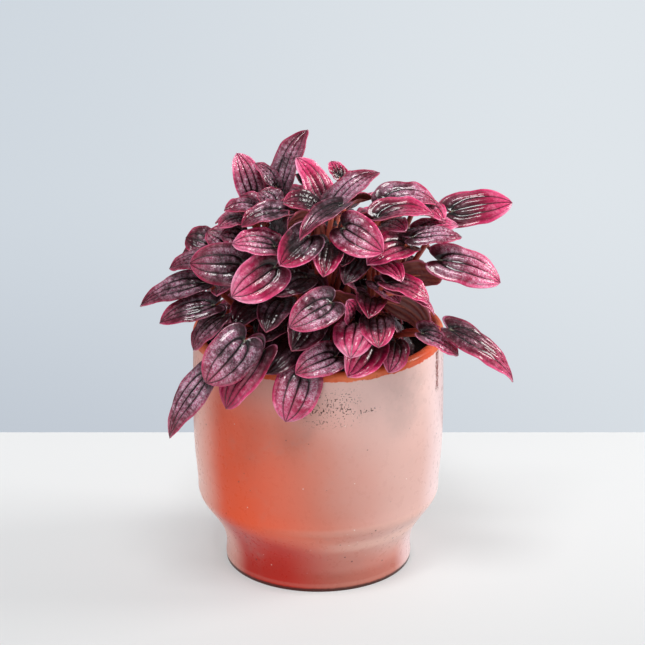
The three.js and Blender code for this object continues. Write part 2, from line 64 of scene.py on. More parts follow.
class Sock:
    # wraps a socket, so that sums on values add their Math nodes
    def __init__(self, paint, socket):
        self.paint, self.socket = paint, socket

    __add__ = __radd__ = mathWay("ADD")
    __mul__ = __rmul__ = mathWay("MULTIPLY")
    __sub__, __rsub__ = mathWay("SUBTRACT"), mathWay("SUBTRACT", turned=True)
    __truediv__, __rtruediv__ = mathWay("DIVIDE"), mathWay("DIVIDE", turned=True)
    __pow__ = mathWay("POWER")
    abs, fraction = mathWay("ABSOLUTE"), mathWay("FRACT")
    least, most = mathWay("MINIMUM"), mathWay("MAXIMUM")

    def step(self, low, high):
        # 0 below low, 1 above high, smooth between; low over high turns it round
        turned = low > high
        values = {0: self, 1: min(low, high), 2: max(low, high), 3: float(turned), 4: float(not turned)}
        return self.paint.node("ShaderNodeMapRange", {"interpolation_type": "SMOOTHSTEP"}, values)


class Paint:
    # the nodes of a new material, or of a tree that is already there
    def __init__(self, name, tree=None):
        if tree is None:
            self.material = bpy.data.materials.new(name)
            self.material.use_nodes = True
            tree = self.material.node_tree
            self.surface = tree.nodes["Principled BSDF"]
        self.tree = tree

    def node(self, kind, settings=None, values=None, out=0):
        made = self.tree.nodes.new(kind)
        for key, value in (settings or {}).items():
            if key == "stops":
                self.setStops(made.color_ramp, value)
            else:
                setattr(made, key, value)
        for key, value in (values or {}).items():
            self.feed(made.inputs[key], value)
        return Sock(self, made.outputs[out])

    def setStops(self, ramp, stops):
        while len(ramp.elements) < len(stops):
            ramp.elements.new(0.5)
        for element, (place, colour) in zip(ramp.elements, stops):
            element.position = place
            element.color = colour

    def feed(self, socket, value):
        if isinstance(value, Sock):
            self.tree.links.new(value.socket, socket)
        else:
            socket.default_value = value

    def mix(self, share, first, second, blend="MIX"):
        settings = {"data_type": "RGBA", "blend_type": blend, "clamp_factor": True}
        return self.node("ShaderNodeMix", settings, {0: share, 6: first, 7: second}, out=2)

    def stored(self, name):
        return self.node("ShaderNodeAttribute", {"attribute_name": name}, out=2)

    def place(self):
        return self.node("ShaderNodeTexCoord", out=3)

    def parts(self, vector):
        first = self.node("ShaderNodeSeparateXYZ", {}, {0: vector})
        return [Sock(self, out) for out in first.socket.node.outputs]

    def noise(self, vector, scale, detail=3.0, rough=0.5):
        values = {"Vector": vector, "Scale": scale, "Detail": detail, "Roughness": rough}
        return self.node("ShaderNodeTexNoise", {}, values)

    def cells(self, vector, scale):
        return self.node("ShaderNodeTexVoronoi", {"feature": "F1"}, {"Vector": vector, "Scale": scale})

    def layers(self, colour, *layers):
        # lays colours over the first one, each with its share
        for share, over in layers:
            colour = self.mix(share, colour, over)
        return colour

    def bump(self, height, depth, strength=1.0, under=None):
        values = {"Height": height, "Distance": depth, "Strength": strength}
        if under is not None:
            values["Normal"] = under
        return self.node("ShaderNodeBump", {}, values)

    def finish(self, colour, roughness, normal=None, **fixed):
        self.feed(self.surface.inputs["Base Color"], colour)
        self.feed(self.surface.inputs["Roughness"], roughness)
        if normal is not None:
            self.feed(self.surface.inputs["Normal"], normal)
        for name, value in fixed.items():
            self.surface.inputs[name.replace("_", " ")].default_value = value
        return self.material


view = {
    "target": (mm(2.19), 0.0, mm(131.1)),
    "distance": 1.8,
    "elevation": 21.8,
    "focalPixels": 3475,
    "frameWidth": 645,
    "sensor": 36.0,
    "farthest": 20,
}


def makeCamera():
    lens = bpy.data.cameras.new("camera")
    lens.sensor_width = view["sensor"]
    lens.lens = view["focalPixels"] / view["frameWidth"] * view["sensor"]
    lens.clip_end = view["farthest"]
    camera = bpy.data.objects.new("camera", lens)
    tilt = math.radians(view["elevation"])
    back = Vector((0, -math.cos(tilt), math.sin(tilt)))
    camera.location = Vector(view["target"]) + back * view["distance"]
    camera.rotation_euler = (math.pi / 2 - tilt, 0, 0)
    bpy.context.scene.collection.objects.link(camera)
    bpy.context.scene.camera = camera


lamps = [
    # name, place, aim, width, height, watts, colour
    ("key", (1.95, 0.2, 1.0), (0, 0, 0.1), 0.8, 0.8, 35, (1.0, 0.98, 0.95)),
    ("front", (-0.1, -0.75, 2.0), (0, 0, 0.12), 0.7, 0.55, 27, (1.0, 0.99, 0.99)),
    ("fill", (-1.1, -2.3, 0.9), (0, 0, 0.1), 2.4, 1.6, 13, (1.0, 0.98, 0.97)),
]


def makeLamp(name, place, aim, width, height, watts, colour):
    data = bpy.data.lights.new(name, "AREA")
    data.shape = "RECTANGLE"
    data.size = width
    data.size_y = height
    data.energy = watts
    data.color = colour
    lamp = bpy.data.objects.new(name, data)
    lamp.location = place
    lamp.rotation_euler = (Vector(aim) - Vector(place)).to_track_quat("-Z", "Y").to_euler()
    bpy.context.scene.collection.objects.link(lamp)


table = {
    "width": 5.0, "front": -3.2, "back": 0.158, "thickness": 0.03,
    "near": rgb(205, 206, 206), "far": rgb(222, 223, 223), "paling": (-0.25, 0.16),
    "roughness": 0.7, "gloss": 0.15,
    "ownLight": 0.42, "litBy": 1.27,  # a share of its brightness is its own, which keeps its shadows pale
}
wall = {
    "left": rgb(207, 215, 223), "right": rgb(223, 229, 234), "low": rgb(188, 196, 207), "light": rgb(214, 220, 228),
    "lighting": 0.46, "across": (-0.12, 0.09), "down": (-0.33, -0.43),
}


def makeTable():
    half = table["width"] / 2
    x, y = (-half, half), (table["front"], table["back"])
    z = (-table["thickness"], 0.0)
    corners = [(x[i], y[j], z[k]) for k in (0, 1) for j in (0, 1) for i in (0, 1)]
    faces = [(4, 5, 7, 6), (0, 2, 3, 1), (0, 1, 5, 4), (2, 6, 7, 3), (0, 4, 6, 2), (1, 3, 7, 5)]
    mesh = bpy.data.meshes.new("table_top")
    mesh.from_pydata(corners, [], faces)
    top = bpy.data.objects.new("table_top", mesh)
    bpy.context.scene.collection.objects.link(top)
    paint = Paint("table_white")
    _, y, _ = paint.parts(paint.place())
    # the table is painted darker at the front than at the back, painted shade that evens out the front lamp's stronger
    # light there
    share = y.step(*table["paling"])
    near, far = [tuple(part * (1 - table["ownLight"]) for part in table[key][:3]) + (1.0,) for key in ("near", "far")]
    paint.feed(paint.surface.inputs["Emission Color"], paint.mix(share, table["near"], table["far"]))
    colour = paint.mix(share, near, far)
    glow = table["ownLight"] * table["litBy"]
    white = paint.finish(colour, table["roughness"], Emission_Strength=glow, Specular_IOR_Level=table["gloss"])
    mesh.materials.append(white)


def makeWorld():
    # the wall behind the table, a little darker to the left and low down; it lights the scene more weakly
    world = bpy.data.worlds.new("pale_wall")
    world.use_nodes = True
    paint = Paint("pale_wall", world.node_tree)
    x, _, z = paint.parts(paint.node("ShaderNodeTexCoord"))
    colour = paint.mix(x.step(*wall["across"]), wall["left"], wall["right"])
    colour = paint.mix(z.step(*wall["down"]) * (0.65 - x * 3.5), colour, wall["low"])
    seen = paint.node("ShaderNodeBackground", {}, {0: colour, 1: 1.0})
    lighting = paint.node("ShaderNodeBackground", {}, {0: wall["light"], 1: wall["lighting"]})
    rays = paint.node("ShaderNodeLightPath")
    both = paint.node("ShaderNodeMixShader", {}, {0: rays, 1: lighting, 2: seen})
    paint.feed(world.node_tree.nodes["World Output"].inputs["Surface"], both)
    bpy.context.scene.world = world


makeCamera()
for lamp in lamps:
    makeLamp(*lamp)
makeTable()
makeWorld()
bpy.context.scene.view_settings.view_transform = "Standard"
print("camera, lamps and table set")

leafRows = [
    # base x, y, z, tip x, y, z, width, turn, cup, arch, tone
    # upright ones along the top
    (-32, -10, 204, -40, -6, 226, 16, 20, 0.15, 0.1, "rose"),
    (-22, -10, 209, -33, -4, 220, 13, 0, 0.1, 0.1, "mauve"),
    (-18, -5, 207, -6, 8, 234, 21, 0, 0.2, 0.08, "mauve"),
    (4, -27, 206, -9, -21, 230, 19, -5, 0.1, 0.1, "pink"),
    (11, -13, 214, 7, -8, 222, 11, 0, 0.1, 0.1, "pink"),
    (13, -13, 213, 19, -10, 218, 10, 0, 0.1, 0.1, "pink"),
    (6, -35, 204, 30, -26, 223, 20, -5, 0.2, 0.12, "mauve"),
    (31, -17, 205, 41, -11, 213, 13, 0, 0.1, 0.1, "mauve"),
    # reaching out to the right
    (34, -22, 206, 60, -21, 206, 20, 12, 0.25, 0.15, "silver"),
    (30, -39, 200, 58, -34, 200, 18, 0, 0.3, 0.15, "magenta"),
    (50, -15, 201, 63, -29, 198, 17, 15, 0.1, 0.1, "rose"),
    (68, -8, 195, 99, -4, 199, 21, 30, -0.1, 0.05, "magenta"),
    (51, -30, 194, 71, -24, 195, 14, 0, 0.1, 0.1, "pink"),
    (47, -42, 192, 72, -36, 191, 17, -8, -0.15, 0.1, "mauve"),
    (60, -40, 178, 92, -40, 169, 22, 10, -0.2, 0.15, "rose"),
    (44, -39, 173, 63, -44, 174, 16, -90, 0.1, 0.1, "mauve"),
    (66, -50, 147, 100, -44, 117, 21, -10, -0.15, 0.12, "magenta"),
    (52, -53, 146, 71, -51, 134, 17, -15, 0.15, 0.1, "rose"),
    (34, -55, 174, 55, -57, 163, 18, -20, 0.15, 0.15, "magenta"),
    (36, -53, 168, 59, -54, 158, 15, -20, 0.15, 0.15, "pink"),
    (29, -41, 167, 41, -53, 161, 12, 0, 0.1, 0.1, "silver"),
    (32, -46, 160, 56, -48, 145, 21, -100, 0.1, 0.15, "dark"),
    # over the front
    (17, -53, 152, 16, -77, 146, 22, 10, -0.15, 0.12, "pink"),
    (29, -52, 152, 30, -73, 145, 18, 10, -0.1, 0.1, "cup"),
    (17, -56, 154, 15, -63, 170, 12, 10, -0.1, 0.1, "pink"),
    (6, -64, 167, -14, -76, 159, 20, -20, 0.15, 0.12, "silver"),
    (-22, -57, 185, -43, -67, 172, 23, -35, 0.25, 0.05, "bright"),
    (-38, -49, 182, -64, -49, 182, 22, -40, 0.15, 0.12, "maroon"),
    (-53, -41, 180, -75, -39, 176, 16, 0, 0.1, 0.1, "maroon"),
    (-56, -29, 179, -69, -25, 180, 16, -10, 0.3, 0.1, "mauve"),
    (-55, -27, 184, -67, -22, 186, 16, -10, 0.3, 0.1, "mauve"),
    (-46, -31, 186, -56, -26, 191, 17, 0, 0.3, 0.1, "mauve"),
    (-38, -31, 189, -49, -30, 190, 17, 0, 0.1, 0.1, "mauve"),
    (-33, -26, 194, -50, -38, 197, 16, -10, 0.1, 0.1, "mauve"),
    (-22, -54, 192, -43, -54, 194, 17, 5, 0.2, 0.12, "rose"),
    (-29, -29, 200, -47, -36, 206, 16, -10, 0.25, 0.1, "mauve"),
    (-16, -44, 205, -37, -50, 201, 16, 10, 0.35, 0.1, "mauve"),
    (-31, -26, 203, -39, -19, 208, 15, 0, 0.3, 0.1, "mauve"),
    (-22, -27, 205, -30, -22, 210, 15, 0, 0.3, 0.1, "mauve"),
    (-6, -34, 207, -22, -37, 208, 14, 65, 0.2, 0.1, "maroon"),
    (-2, -37, 205, -18, -47, 211, 16, -5, 0.2, 0.1, "maroon"),
    (2, -44, 205, -17, -50, 206, 15, 70, 0.3, 0.1, "maroon"),
    (-20, -46, 194, -16, -50, 213, 17, -10, 0.2, 0.1, "dark"),
    (13, -46, 210, -9, -64, 200, 15, 5, 0.2, 0.12, "maroon"),
    (-2, -21, 202, -11, -21, 220, 15, -5, 0.1, 0.1, "dark"),
    (-5, -56, 198, -19, -69, 189, 19, -20, 0.5, 0.05, "cup"),
    (6, -53, 196, 3, -71, 186, 16, 5, 0.45, 0.05, "cup"),
    (13, -54, 203, 32, -66, 195, 21, 35, 0.2, 0.1, "rose"),
    (44, -42, 191, 25, -60, 189, 19, 15, 0.2, 0.15, "magenta"),
    (27, -44, 183, 42, -58, 178, 17, 0, 0.1, 0.15, "magenta"),
    (32, -26, 191, 43, -42, 195, 16, 15, 0.1, 0.1, "rose"),
    (16, -46, 166, 13, -60, 179, 13, -10, 0.1, 0.1, "silver"),
    (15, -47, 164, 1, -60, 171, 14, 60, 0.1, 0.1, "maroon"),
    (27, -44, 164, 25, -63, 161, 16, 20, 0.4, 0.1, "maroon"),
    (-6, -53, 174, -22, -66, 170, 17, 0, 0.2, 0.1, "dark"),
    (-10, -47, 174, 4, -63, 175, 16, -10, 0.3, 0.1, "dark"),
    (-30, -42, 158, -42, -61, 154, 18, -10, 0.35, 0.1, "dark"),
    (-18, -50, 162, -26, -69, 154, 18, -5, 0.35, 0.1, "dark"),
    (-17, -45, 148, -30, -62, 145, 17, 0, 0.2, 0.1, "dark"),
    (-5, -52, 152, -13, -73, 145, 20, -15, 0.35, 0.1, "dark"),
    (9, -64, 139, -11, -74, 134, 18, 15, 0.3, 0.1, "silver"),
    # hanging over the rim
    (-7, -66, 132, -16, -75, 108, 24, -5, -0.15, 0.1, "rose"),
    (-36, -64, 147, -55, -72, 127, 25, -30, -0.1, 0.12, "silver"),
    (-27, -66, 142, -47, -71, 113, 23, 0, 0.1, 0.1, "magenta"),
    (-54, -61, 129, -76, -62, 93, 19, 0, -0.1, 0.1, "silver"),
    (-47, -56, 157, -63, -59, 140, 17, 10, 0.15, 0.1, "maroon"),
    (-40, -42, 144, -52, -60, 144, 18, -10, 0.1, 0.1, "dark"),
    (-56, -46, 169, -90, -42, 157, 18, 10, 0.1, 0.1, "mauve"),
    (-53, -53, 164, -80, -57, 155, 17, 5, 0.15, 0.1, "mauve"),
    (-41, -36, 161, -50, -53, 165, 16, -10, 0.1, 0.1, "silver"),
    (-12, -50, 144, -26, -69, 131, 20, -10, 0.1, 0.1, "dark"),
    (24, -51, 141, 16, -74, 133, 22, 5, 0.4, 0.05, "magenta"),
    (40, -46, 140, 37, -61, 130, 16, 15, 0.1, 0.1, "magenta"),
    (16, -41, 191, 12, -61, 186, 15, 10, 0.1, 0.1, "dark"),
    (22, -44, 184, 13, -62, 175, 15, 10, 0.1, 0.1, "dark"),
    (-30, -27, 184, -40, -46, 187, 16, 0, 0.1, 0.1, "dark"),
]

# where the leaves stand, in millimetres, as the solids have them

pot = {
    "radius": 65.0, "height": 129.0, "wall": 5.0, "sectors": 256, "lipSteps": 16,
    "lipWaveFrom": 118, "lipWave": 0.16, "bodyWave": 0.05, "lipBulge": 0.05,
    "sharpCorners": 3, "profileEvery": 2.0,
    "outside": [(0, 0.6), (44, 0.6), (46.8, 0), (48.6, 0), (48.9, 2.5), (48.5, 9), (49.4, 15), (51.2, 20),
                (53.3, 24), (55.9, 28), (58.7, 32), (61.5, 36), (63.1, 40), (63.3, 46), (64, 54), (65, 68),
                (65.3, 90), (64.9, 122)],
    "inside": [(60, 120), (59.9, 100), (60, 80), (60, 56), (57.5, 44), (51.5, 32), (45.5, 20), (43, 12), (41, 10),
               (0, 10)],
}
soil = {
    "top": 118.0, "swell": 3.0, "edge": 59.3, "sectors": 200, "rings": 58, "crumbs": 900, "seed": 5,
    "below": [(59.3, 60), (56.8, 44.3), (50.8, 32.3), (44.8, 20.3), (42.3, 12.3), (40.3, 10.3)], "bottom": 10.3,
    "sink": 0.8, "fullness": 0.8, "crumbMargin": 1.5, "crumbSize": (0.45, 1.5),
    "lumps": [(0.09, 3.1, 1.3), (0.32, 7.7, 0.9), (0.9, 1.3, 0.45)],  # how close together, which slice, how high
}
stem = {
    "radius": 6.5, "rise": 18.0, "depth": 10.0, "ringRadius": 34.0, "sides": 24, "steps": 14,
    "taper": 0.1, "ripple": 0.08, "cap": (1, 0.82, 0.5), "capRise": 0.4,
}
blade = {
    "widestAt": 0.36, "bluntness": 1.39, "lobeLength": 0.2, "lobePeak": 4.2,
    "waveHeight": 0.035, "wavesAlong": 15, "wavesAcross": 2, "potRoom": 2.0,
    "shortest": 0.4, "mostDrawn": 1.9, "lift": 1, "mostLifts": 8,
}
stalk = {
    "lowOut": 4.5, "lowUp": 3.0, "highOut": 1.8, "highUp": 16.5, "lean": 0.12, "run": 0.3, "longestRun": 14.0,
    "foot": 0.5, "alongMidrib": 0.4, "leastAlongMidrib": 0.3, "potRoom": 3.0,
    "steps": 15, "sides": 9, "radii": (1.35, 1.0), "flare": 1.25, "thick": {"large": 1.25, "small": 0.95},
    "midribRadii": (0.85, 0.15), "midribReach": 0.5, "midribLift": 0.25,
}
settling = {
    "passes": 60, "room": 2.2, "mostPush": 5.0, "near": 0.6, "ends": 0.03, "pastEdge": 1.1,
    "placedGive": (3, 8), "outerGive": (8, 30), "innerGive": (7, 40),  # most shift in mm, most turn in degrees
}
dome = {"centre": np.array([0, 4, 118.0]), "radii": np.array([80, 84, 88.0]), "faceFrom": np.array([0, 0, 95.0])}
goldenAngle = 137.508
outerCoat = {
    "seed": 71, "turns": 104, "spacing": 16, "frontEdge": -28, "crownHeight": 84, "sideHem": 8, "backHem": -6,
    "tuckBelow": 50, "tuckOver": 38, "tuck": 0.27, "stray": (-8, 8), "rise": (-5, 5), "layer": (0.92, 1),
    "baseDepth": 0.86, "droop": (14, 26), "width": (17, 23), "turn": (-25, 25), "cup": (-0.15, 0.3),
    "arch": (0.06, 0.15), "mostStrain": 5, "overRim": 5,
}
innerCoat = {
    "seed": 19, "turns": 190, "spacing": 12.5, "frontEdge": -62, "crownHeight": 84, "sideHem": 10, "backHem": 10,
    "tuckBelow": 40, "tuckOver": 38, "tuck": 0.12, "stray": (-10, 10), "rise": (-6, 6), "layer": (0.6, 0.84),
    "baseDepth": 0.8, "droop": (14, 30), "width": (11, 16), "turn": (-35, 35), "cup": (0, 0.3),
    "arch": (0.06, 0.15), "mostStrain": 4, "overRim": -6,
}


def unit(vectors):
    return vectors / np.maximum(np.linalg.norm(vectors, axis=-1, keepdims=True), 1e-9)


def dot(a, b):
    return np.sum(a * b, axis=-1)


def drawFrom(seed):
    # draws that come out the same each run
    state, most = [seed], 2147483647

    def draw(low, high):
        state[0] = (state[0] * 16807) % most
        return low + (high - low) * state[0] / most
    return draw


class Leaves:
    # a set of leaves as arrays, one row for each: base, tip, width, turn, cup and arch
    def __init__(self, rows, reach, turnGive):
        numbers = np.array([row[:10] for row in rows], float)
        self.base, self.tip = numbers[:, 0:3], numbers[:, 3:6]
        self.width, self.turn, self.cup, self.arch = numbers[:, 6:10].T
        self.tone = [row[10] for row in rows]
        self.reach = np.full(len(rows), float(reach))
        self.turnGive = np.full(len(rows), float(turnGive))
        self.frame()

    def frame(self):
        span = self.tip - self.base
        self.length = np.linalg.norm(span, axis=1)
        self.along = unit(span)
        self.middle = (self.base + self.tip) / 2
        out = self.middle - dome["faceFrom"]
        out = unit(out - self.along * dot(out, self.along)[:, None])
        angle = np.radians(self.turn)[:, None]
        self.face = out * np.cos(angle) + np.cross(self.along, out) * np.sin(angle)
        self.across = np.cross(self.along, self.face)

    def add(self, other):
        for name in ("base", "tip", "width", "turn", "cup", "arch", "reach", "turnGive"):
            setattr(self, name, np.concatenate([getattr(self, name), getattr(other, name)]))
        self.tone += other.tone
        self.frame()
        return self


def outline(u):
    # half the width along the blade, as a share of the widest
    at, blunt = blade["widestAt"], blade["bluntness"]
    u = np.clip(u, 0, 1)
    return (u / at) ** (at * blunt) * ((1 - u) / (1 - at)) ** ((1 - at) * blunt)


def lobes(u):
    # how far the lobes beside the stalk reach back
    u = np.clip(u, 0, 1)
    return blade["lobePeak"] * blade["lobeLength"] * np.sqrt(u) * (1 - u) ** 3


def bladeHeight(leaves, i, u, v):
    arch = leaves.length[i] * leaves.arch[i] * 4 * u * (1 - u)
    wave = blade["waveHeight"] * leaves.width[i] * np.sin(blade["wavesAlong"] * u + blade["wavesAcross"] * v)
    return arch + (leaves.cup[i] * leaves.width[i] / 2 + wave) * v * v * outline(u)


def bladePoint(leaves, i, u, v):
    along = (leaves.length[i] * (u - lobes(u) * v * v))[..., None]
    across = (leaves.width[i] / 2 * v * outline(u))[..., None]
    up = bladeHeight(leaves, i, u, v)[..., None]
    return leaves.base[i] + leaves.along[i] * along + leaves.across[i] * across + leaves.face[i] * up


def clearOfPot(points, room):
    # moves points of the foliage off the rim, the wall and the soil
    reach = np.hypot(points[..., 0], points[..., 1])
    lipRadius, lipHeight = pot["radius"] - pot["wall"] / 2, pot["height"] - pot["wall"] / 2
    keep = pot["wall"] / 2 + room
    off = np.maximum(np.hypot(reach - lipRadius, points[..., 2] - lipHeight), 1e-6)
    close = off < keep
    out = np.where(close, lipRadius + (reach - lipRadius) * keep / off, reach)
    up = np.where(close, lipHeight + (points[..., 2] - lipHeight) * keep / off, points[..., 2])
    beside = (up < lipHeight) & (np.abs(out - lipRadius) < keep)
    out = np.where(beside, lipRadius + np.where(out < lipRadius, -keep, keep), out)
    floor = soil["top"] + soil["swell"] + room
    up = np.where((up < floor) & (out < lipRadius), floor, up)
    scale = out / np.maximum(reach, 1e-9)
    return np.stack([points[..., 0] * scale, points[..., 1] * scale, up], axis=-1)


def overBlade(leaves, j, points):
    # where points lie over a blade: along it, across it, how high, and whether they do
    rel = points - leaves.base[j]
    along = dot(rel, leaves.along[j]) / leaves.length[j]
    across = dot(rel, leaves.across[j])
    ends = settling["ends"]

    def sideways(share):
        return across / (leaves.width[j] / 2 * outline(share))
    first = np.clip(along, ends, 1 - ends)
    u = np.clip(along + lobes(first) * np.minimum(1, sideways(first) ** 2), ends, 1 - ends)
    v = sideways(u)
    over = (along >= -blade["lobeLength"] / 2) & (along <= 1) & (np.abs(v) <= settling["pastEdge"])
    return u, v, dot(rel, leaves.face[j]) - bladeHeight(leaves, j, u, v), over


sampleGrid = np.meshgrid([0.06, 0.25, 0.5, 0.75, 0.97], [-0.95, -0.5, 0, 0.5, 0.95], indexing="ij")
sampleU, sampleV = [grid.ravel() for grid in sampleGrid]


def held(move, most):
    length = np.linalg.norm(move, axis=1, keepdims=True)
    return move * np.minimum(1, most[:, None] / np.maximum(length, 1e-9))


def settle(leaves):
    # bends leaves clear of each other: points on the wrong side of a neighbour turn and shift both
    homeBase, homeTip, homeTurn = leaves.base.copy(), leaves.tip.copy(), leaves.turn.copy()
    count = len(leaves.width)
    everyone = np.arange(count)[:, None]
    for _ in range(settling["passes"]):
        samples = bladePoint(leaves, everyone, sampleU[None, :], sampleV[None, :])
        apart = np.linalg.norm(leaves.middle[:, None] - leaves.middle[None], axis=-1)
        close = apart <= settling["near"] * (leaves.length[:, None] + leaves.length[None])
        close &= (leaves.reach[:, None] + leaves.reach[None]) > 0
        np.fill_diagonal(close, False)
        i, j = np.nonzero(close)
        u, v, height, over = overBlade(leaves, j[:, None], samples[i])
        way = np.where(np.sum(np.where(over, height, 0), axis=1) < 0, -1.0, 1.0)[:, None]
        depth = np.minimum(settling["mostPush"], settling["room"] - way * height)
        pair, place = np.nonzero(over & (depth > 0))
        push = (way * depth)[pair, place]
        mine, yours = i[pair], j[pair]
        share = leaves.reach[mine] / (leaves.reach[mine] + leaves.reach[yours])
        face = leaves.face[yours]
        base, tip = np.zeros((count, 3)), np.zeros((count, 3))
        turn, pushes = np.zeros(count), np.zeros(count)
        for who, by, alongShare, side in ((mine, push * share, sampleU[place], sampleV[place]),
                                          (yours, -push * (1 - share), u[pair, place], v[pair, place])):
            np.add.at(base, who, face * (by * (1 - alongShare))[:, None])
            np.add.at(tip, who, face * (by * alongShare)[:, None])
            np.add.at(turn, who, dot(face, leaves.face[who]) * by * side / (leaves.width[who] / 2))
            np.add.at(pushes, who, 1)
        mean = 1 / np.maximum(1, pushes)
        leaves.base = homeBase + held(leaves.base + base * mean[:, None] - homeBase, leaves.reach)
        leaves.tip = homeTip + held(leaves.tip + tip * mean[:, None] - homeTip, leaves.reach)
        turned = leaves.turn + np.degrees(turn * mean) - homeTurn
        leaves.turn = homeTurn + np.clip(turned, -leaves.turnGive, leaves.turnGive)
        leaves.frame()
    return leaves


def onDome(azimuth, height, layer):
    azimuth, height = math.radians(azimuth), math.radians(height)
    flat = math.cos(height)
    ways = np.array([math.cos(azimuth) * flat, math.sin(azimuth) * flat, math.sin(height)])
    return ways * dome["radii"] * layer + dome["centre"]


def strain(leaf):
    raw = bladePoint(leaf, 0, sampleU, sampleV)
    return np.linalg.norm(clearOfPot(raw, blade["potRoom"]) - raw, axis=1).max()


def fillLeaves(taken, coat, tone):
    # leaves at the golden angle from each other, where no other leaf is near
    draw = drawFrom(coat["seed"])
    middles = list(taken.middle)
    rows = []
    for k in range(coat["turns"]):
        azimuth = k * goldenAngle + draw(*coat["stray"])
        behind = max(0, math.sin(math.radians(azimuth))) ** 2
        hem = coat["sideHem"] + (coat["backHem"] - coat["sideHem"]) * behind
        fall = math.sqrt((k + 0.5) / coat["turns"])
        height = coat["crownHeight"] - (coat["crownHeight"] - hem) * fall + draw(*coat["rise"])
        low = min(1, max(0, (coat["tuckBelow"] - height) / coat["tuckOver"]))
        layer = draw(*coat["layer"]) * (1 - coat["tuck"] * low * (1 - behind))
        droop = draw(*coat["droop"])
        base = onDome(azimuth, height + droop / 2, layer * coat["baseDepth"])
        tip = onDome(azimuth + draw(*coat["stray"]), height - droop / 2, layer)
        row = (*base, *tip, draw(*coat["width"]), draw(*coat["turn"]), draw(*coat["cup"]), draw(*coat["arch"]), tone(k))
        leaf = Leaves([row], 0, 0)
        crowded = min(np.linalg.norm(np.array(middles) - leaf.middle[0], axis=1)) < coat["spacing"]
        hangsFree = base[2] > pot["height"] + coat["overRim"] and strain(leaf) < coat["mostStrain"]
        if leaf.middle[0][1] > coat["frontEdge"] and hangsFree and not crowded:
            rows.append(row)
            middles.append(leaf.middle[0])
    return rows


fillTones = ["maroon", "mauve", "pink", "dark", "mauve", "silver", "maroon", "bright", "mauve", "dark", "magenta"]
plantLeaves = Leaves(leafRows, *settling["placedGive"])
outerRows = fillLeaves(plantLeaves, outerCoat, lambda k: fillTones[k * 7 % len(fillTones)])
plantLeaves.add(Leaves(outerRows, *settling["outerGive"]))
settle(plantLeaves)
largeCount = len(plantLeaves.width)
print("large leaves settled:", largeCount)

# the inner leaves take the inner tone: painted near black, painted shade deep in the crown
innerLeaves = Leaves(fillLeaves(plantLeaves, innerCoat, lambda k: "inner"), *settling["innerGive"])
plantLeaves.reach[:] = 0
plantLeaves.turnGive[:] = 0
plantLeaves.add(innerLeaves)
settle(plantLeaves)
leafCount = len(plantLeaves.width)


def drawnOut(leaves, i):
    # how many times longer the pot's lip makes the most drawn bit of a blade
    u, v = np.meshgrid(np.linspace(0.02, 0.98, 25), np.linspace(-1, 1, 13), indexing="ij")
    free = bladePoint(leaves, i, u, v)
    clear = clearOfPot(free, blade["potRoom"])
    most = 0
    for axis in (0, 1):
        before, after = [np.linalg.norm(np.diff(points, axis=axis), axis=-1) for points in (free, clear)]
        most = max(most, (after / np.maximum(before, blade["shortest"])).max())
    return most


def liftOverLip(leaves):
    # a blade that hangs through the pot's wall would tear there, so it is lifted until it passes over
    for i in range(len(leaves.width)):
        for _ in range(blade["mostLifts"]):
            if drawnOut(leaves, i) < blade["mostDrawn"]:
                break
            leaves.base[i, 2] += blade["lift"]
            leaves.tip[i, 2] += blade["lift"]
    leaves.frame()


liftOverLip(plantLeaves)
print("with the inner leaves:", leafCount)

ringCrowns = ["front", "front_right", "back_right", "back", "back_left", "front_left"]
crowns = [("crown_middle", np.zeros(2))]
for place, crownName in enumerate(ringCrowns):
    angle = math.radians(-90 + 360 / len(ringCrowns) * place)
    crowns.append(("crown_" + crownName, np.array([math.cos(angle), math.sin(angle)]) * stem["ringRadius"]))
crownTops = np.array([top for _, top in crowns])
crownOf = np.linalg.norm(plantLeaves.base[:, None, :2] * stalk["foot"] - crownTops[None], axis=-1).argmin(axis=1)
rootOrder = np.zeros(leafCount)
for crown in range(len(crowns)):
    for first, last in ((0, largeCount), (largeCount, leafCount)):
        own = [i for i in range(first, last) if crownOf[i] == crown]
        own.sort(key=lambda i: plantLeaves.base[i][2])
        for place, i in enumerate(own):
            rootOrder[i] = (place + 0.5) / len(own)


def stalkBend(i):
    # the four points of the curve that a stalk follows, from its stem to its blade
    leaves, top = plantLeaves, crownTops[crownOf[i]]
    lean = leaves.base[i][:2] - top
    out = stalk["lowOut"] + (stalk["highOut"] - stalk["lowOut"]) * rootOrder[i]
    up = stalk["lowUp"] + (stalk["highUp"] - stalk["lowUp"]) * rootOrder[i]
    start = np.append(top + unit(lean) * out, soil["top"] + up)
    end = clearOfPot(bladePoint(leaves, np.array([i]), np.zeros(1), np.zeros(1)), blade["potRoom"])[0]
    span = np.linalg.norm(end - start)
    along = leaves.along[i]
    arrive = unit(unit(end - start) + along * stalk["alongMidrib"])
    arrive = unit(arrive + along * max(0, stalk["leastAlongMidrib"] - float(dot(arrive, along))))
    low = start + np.array([lean[0] * stalk["lean"], lean[1] * stalk["lean"], span * stalk["run"]])
    high = end - arrive * min(stalk["longestRun"], span * stalk["run"])
    return start, low, high, end


def onBend(points, t):
    t = np.asarray(t)[:, None]
    a, b, c, d = points
    return a * (1 - t) ** 3 + b * 3 * t * (1 - t) ** 2 + c * 3 * t * t * (1 - t) + d * t ** 3


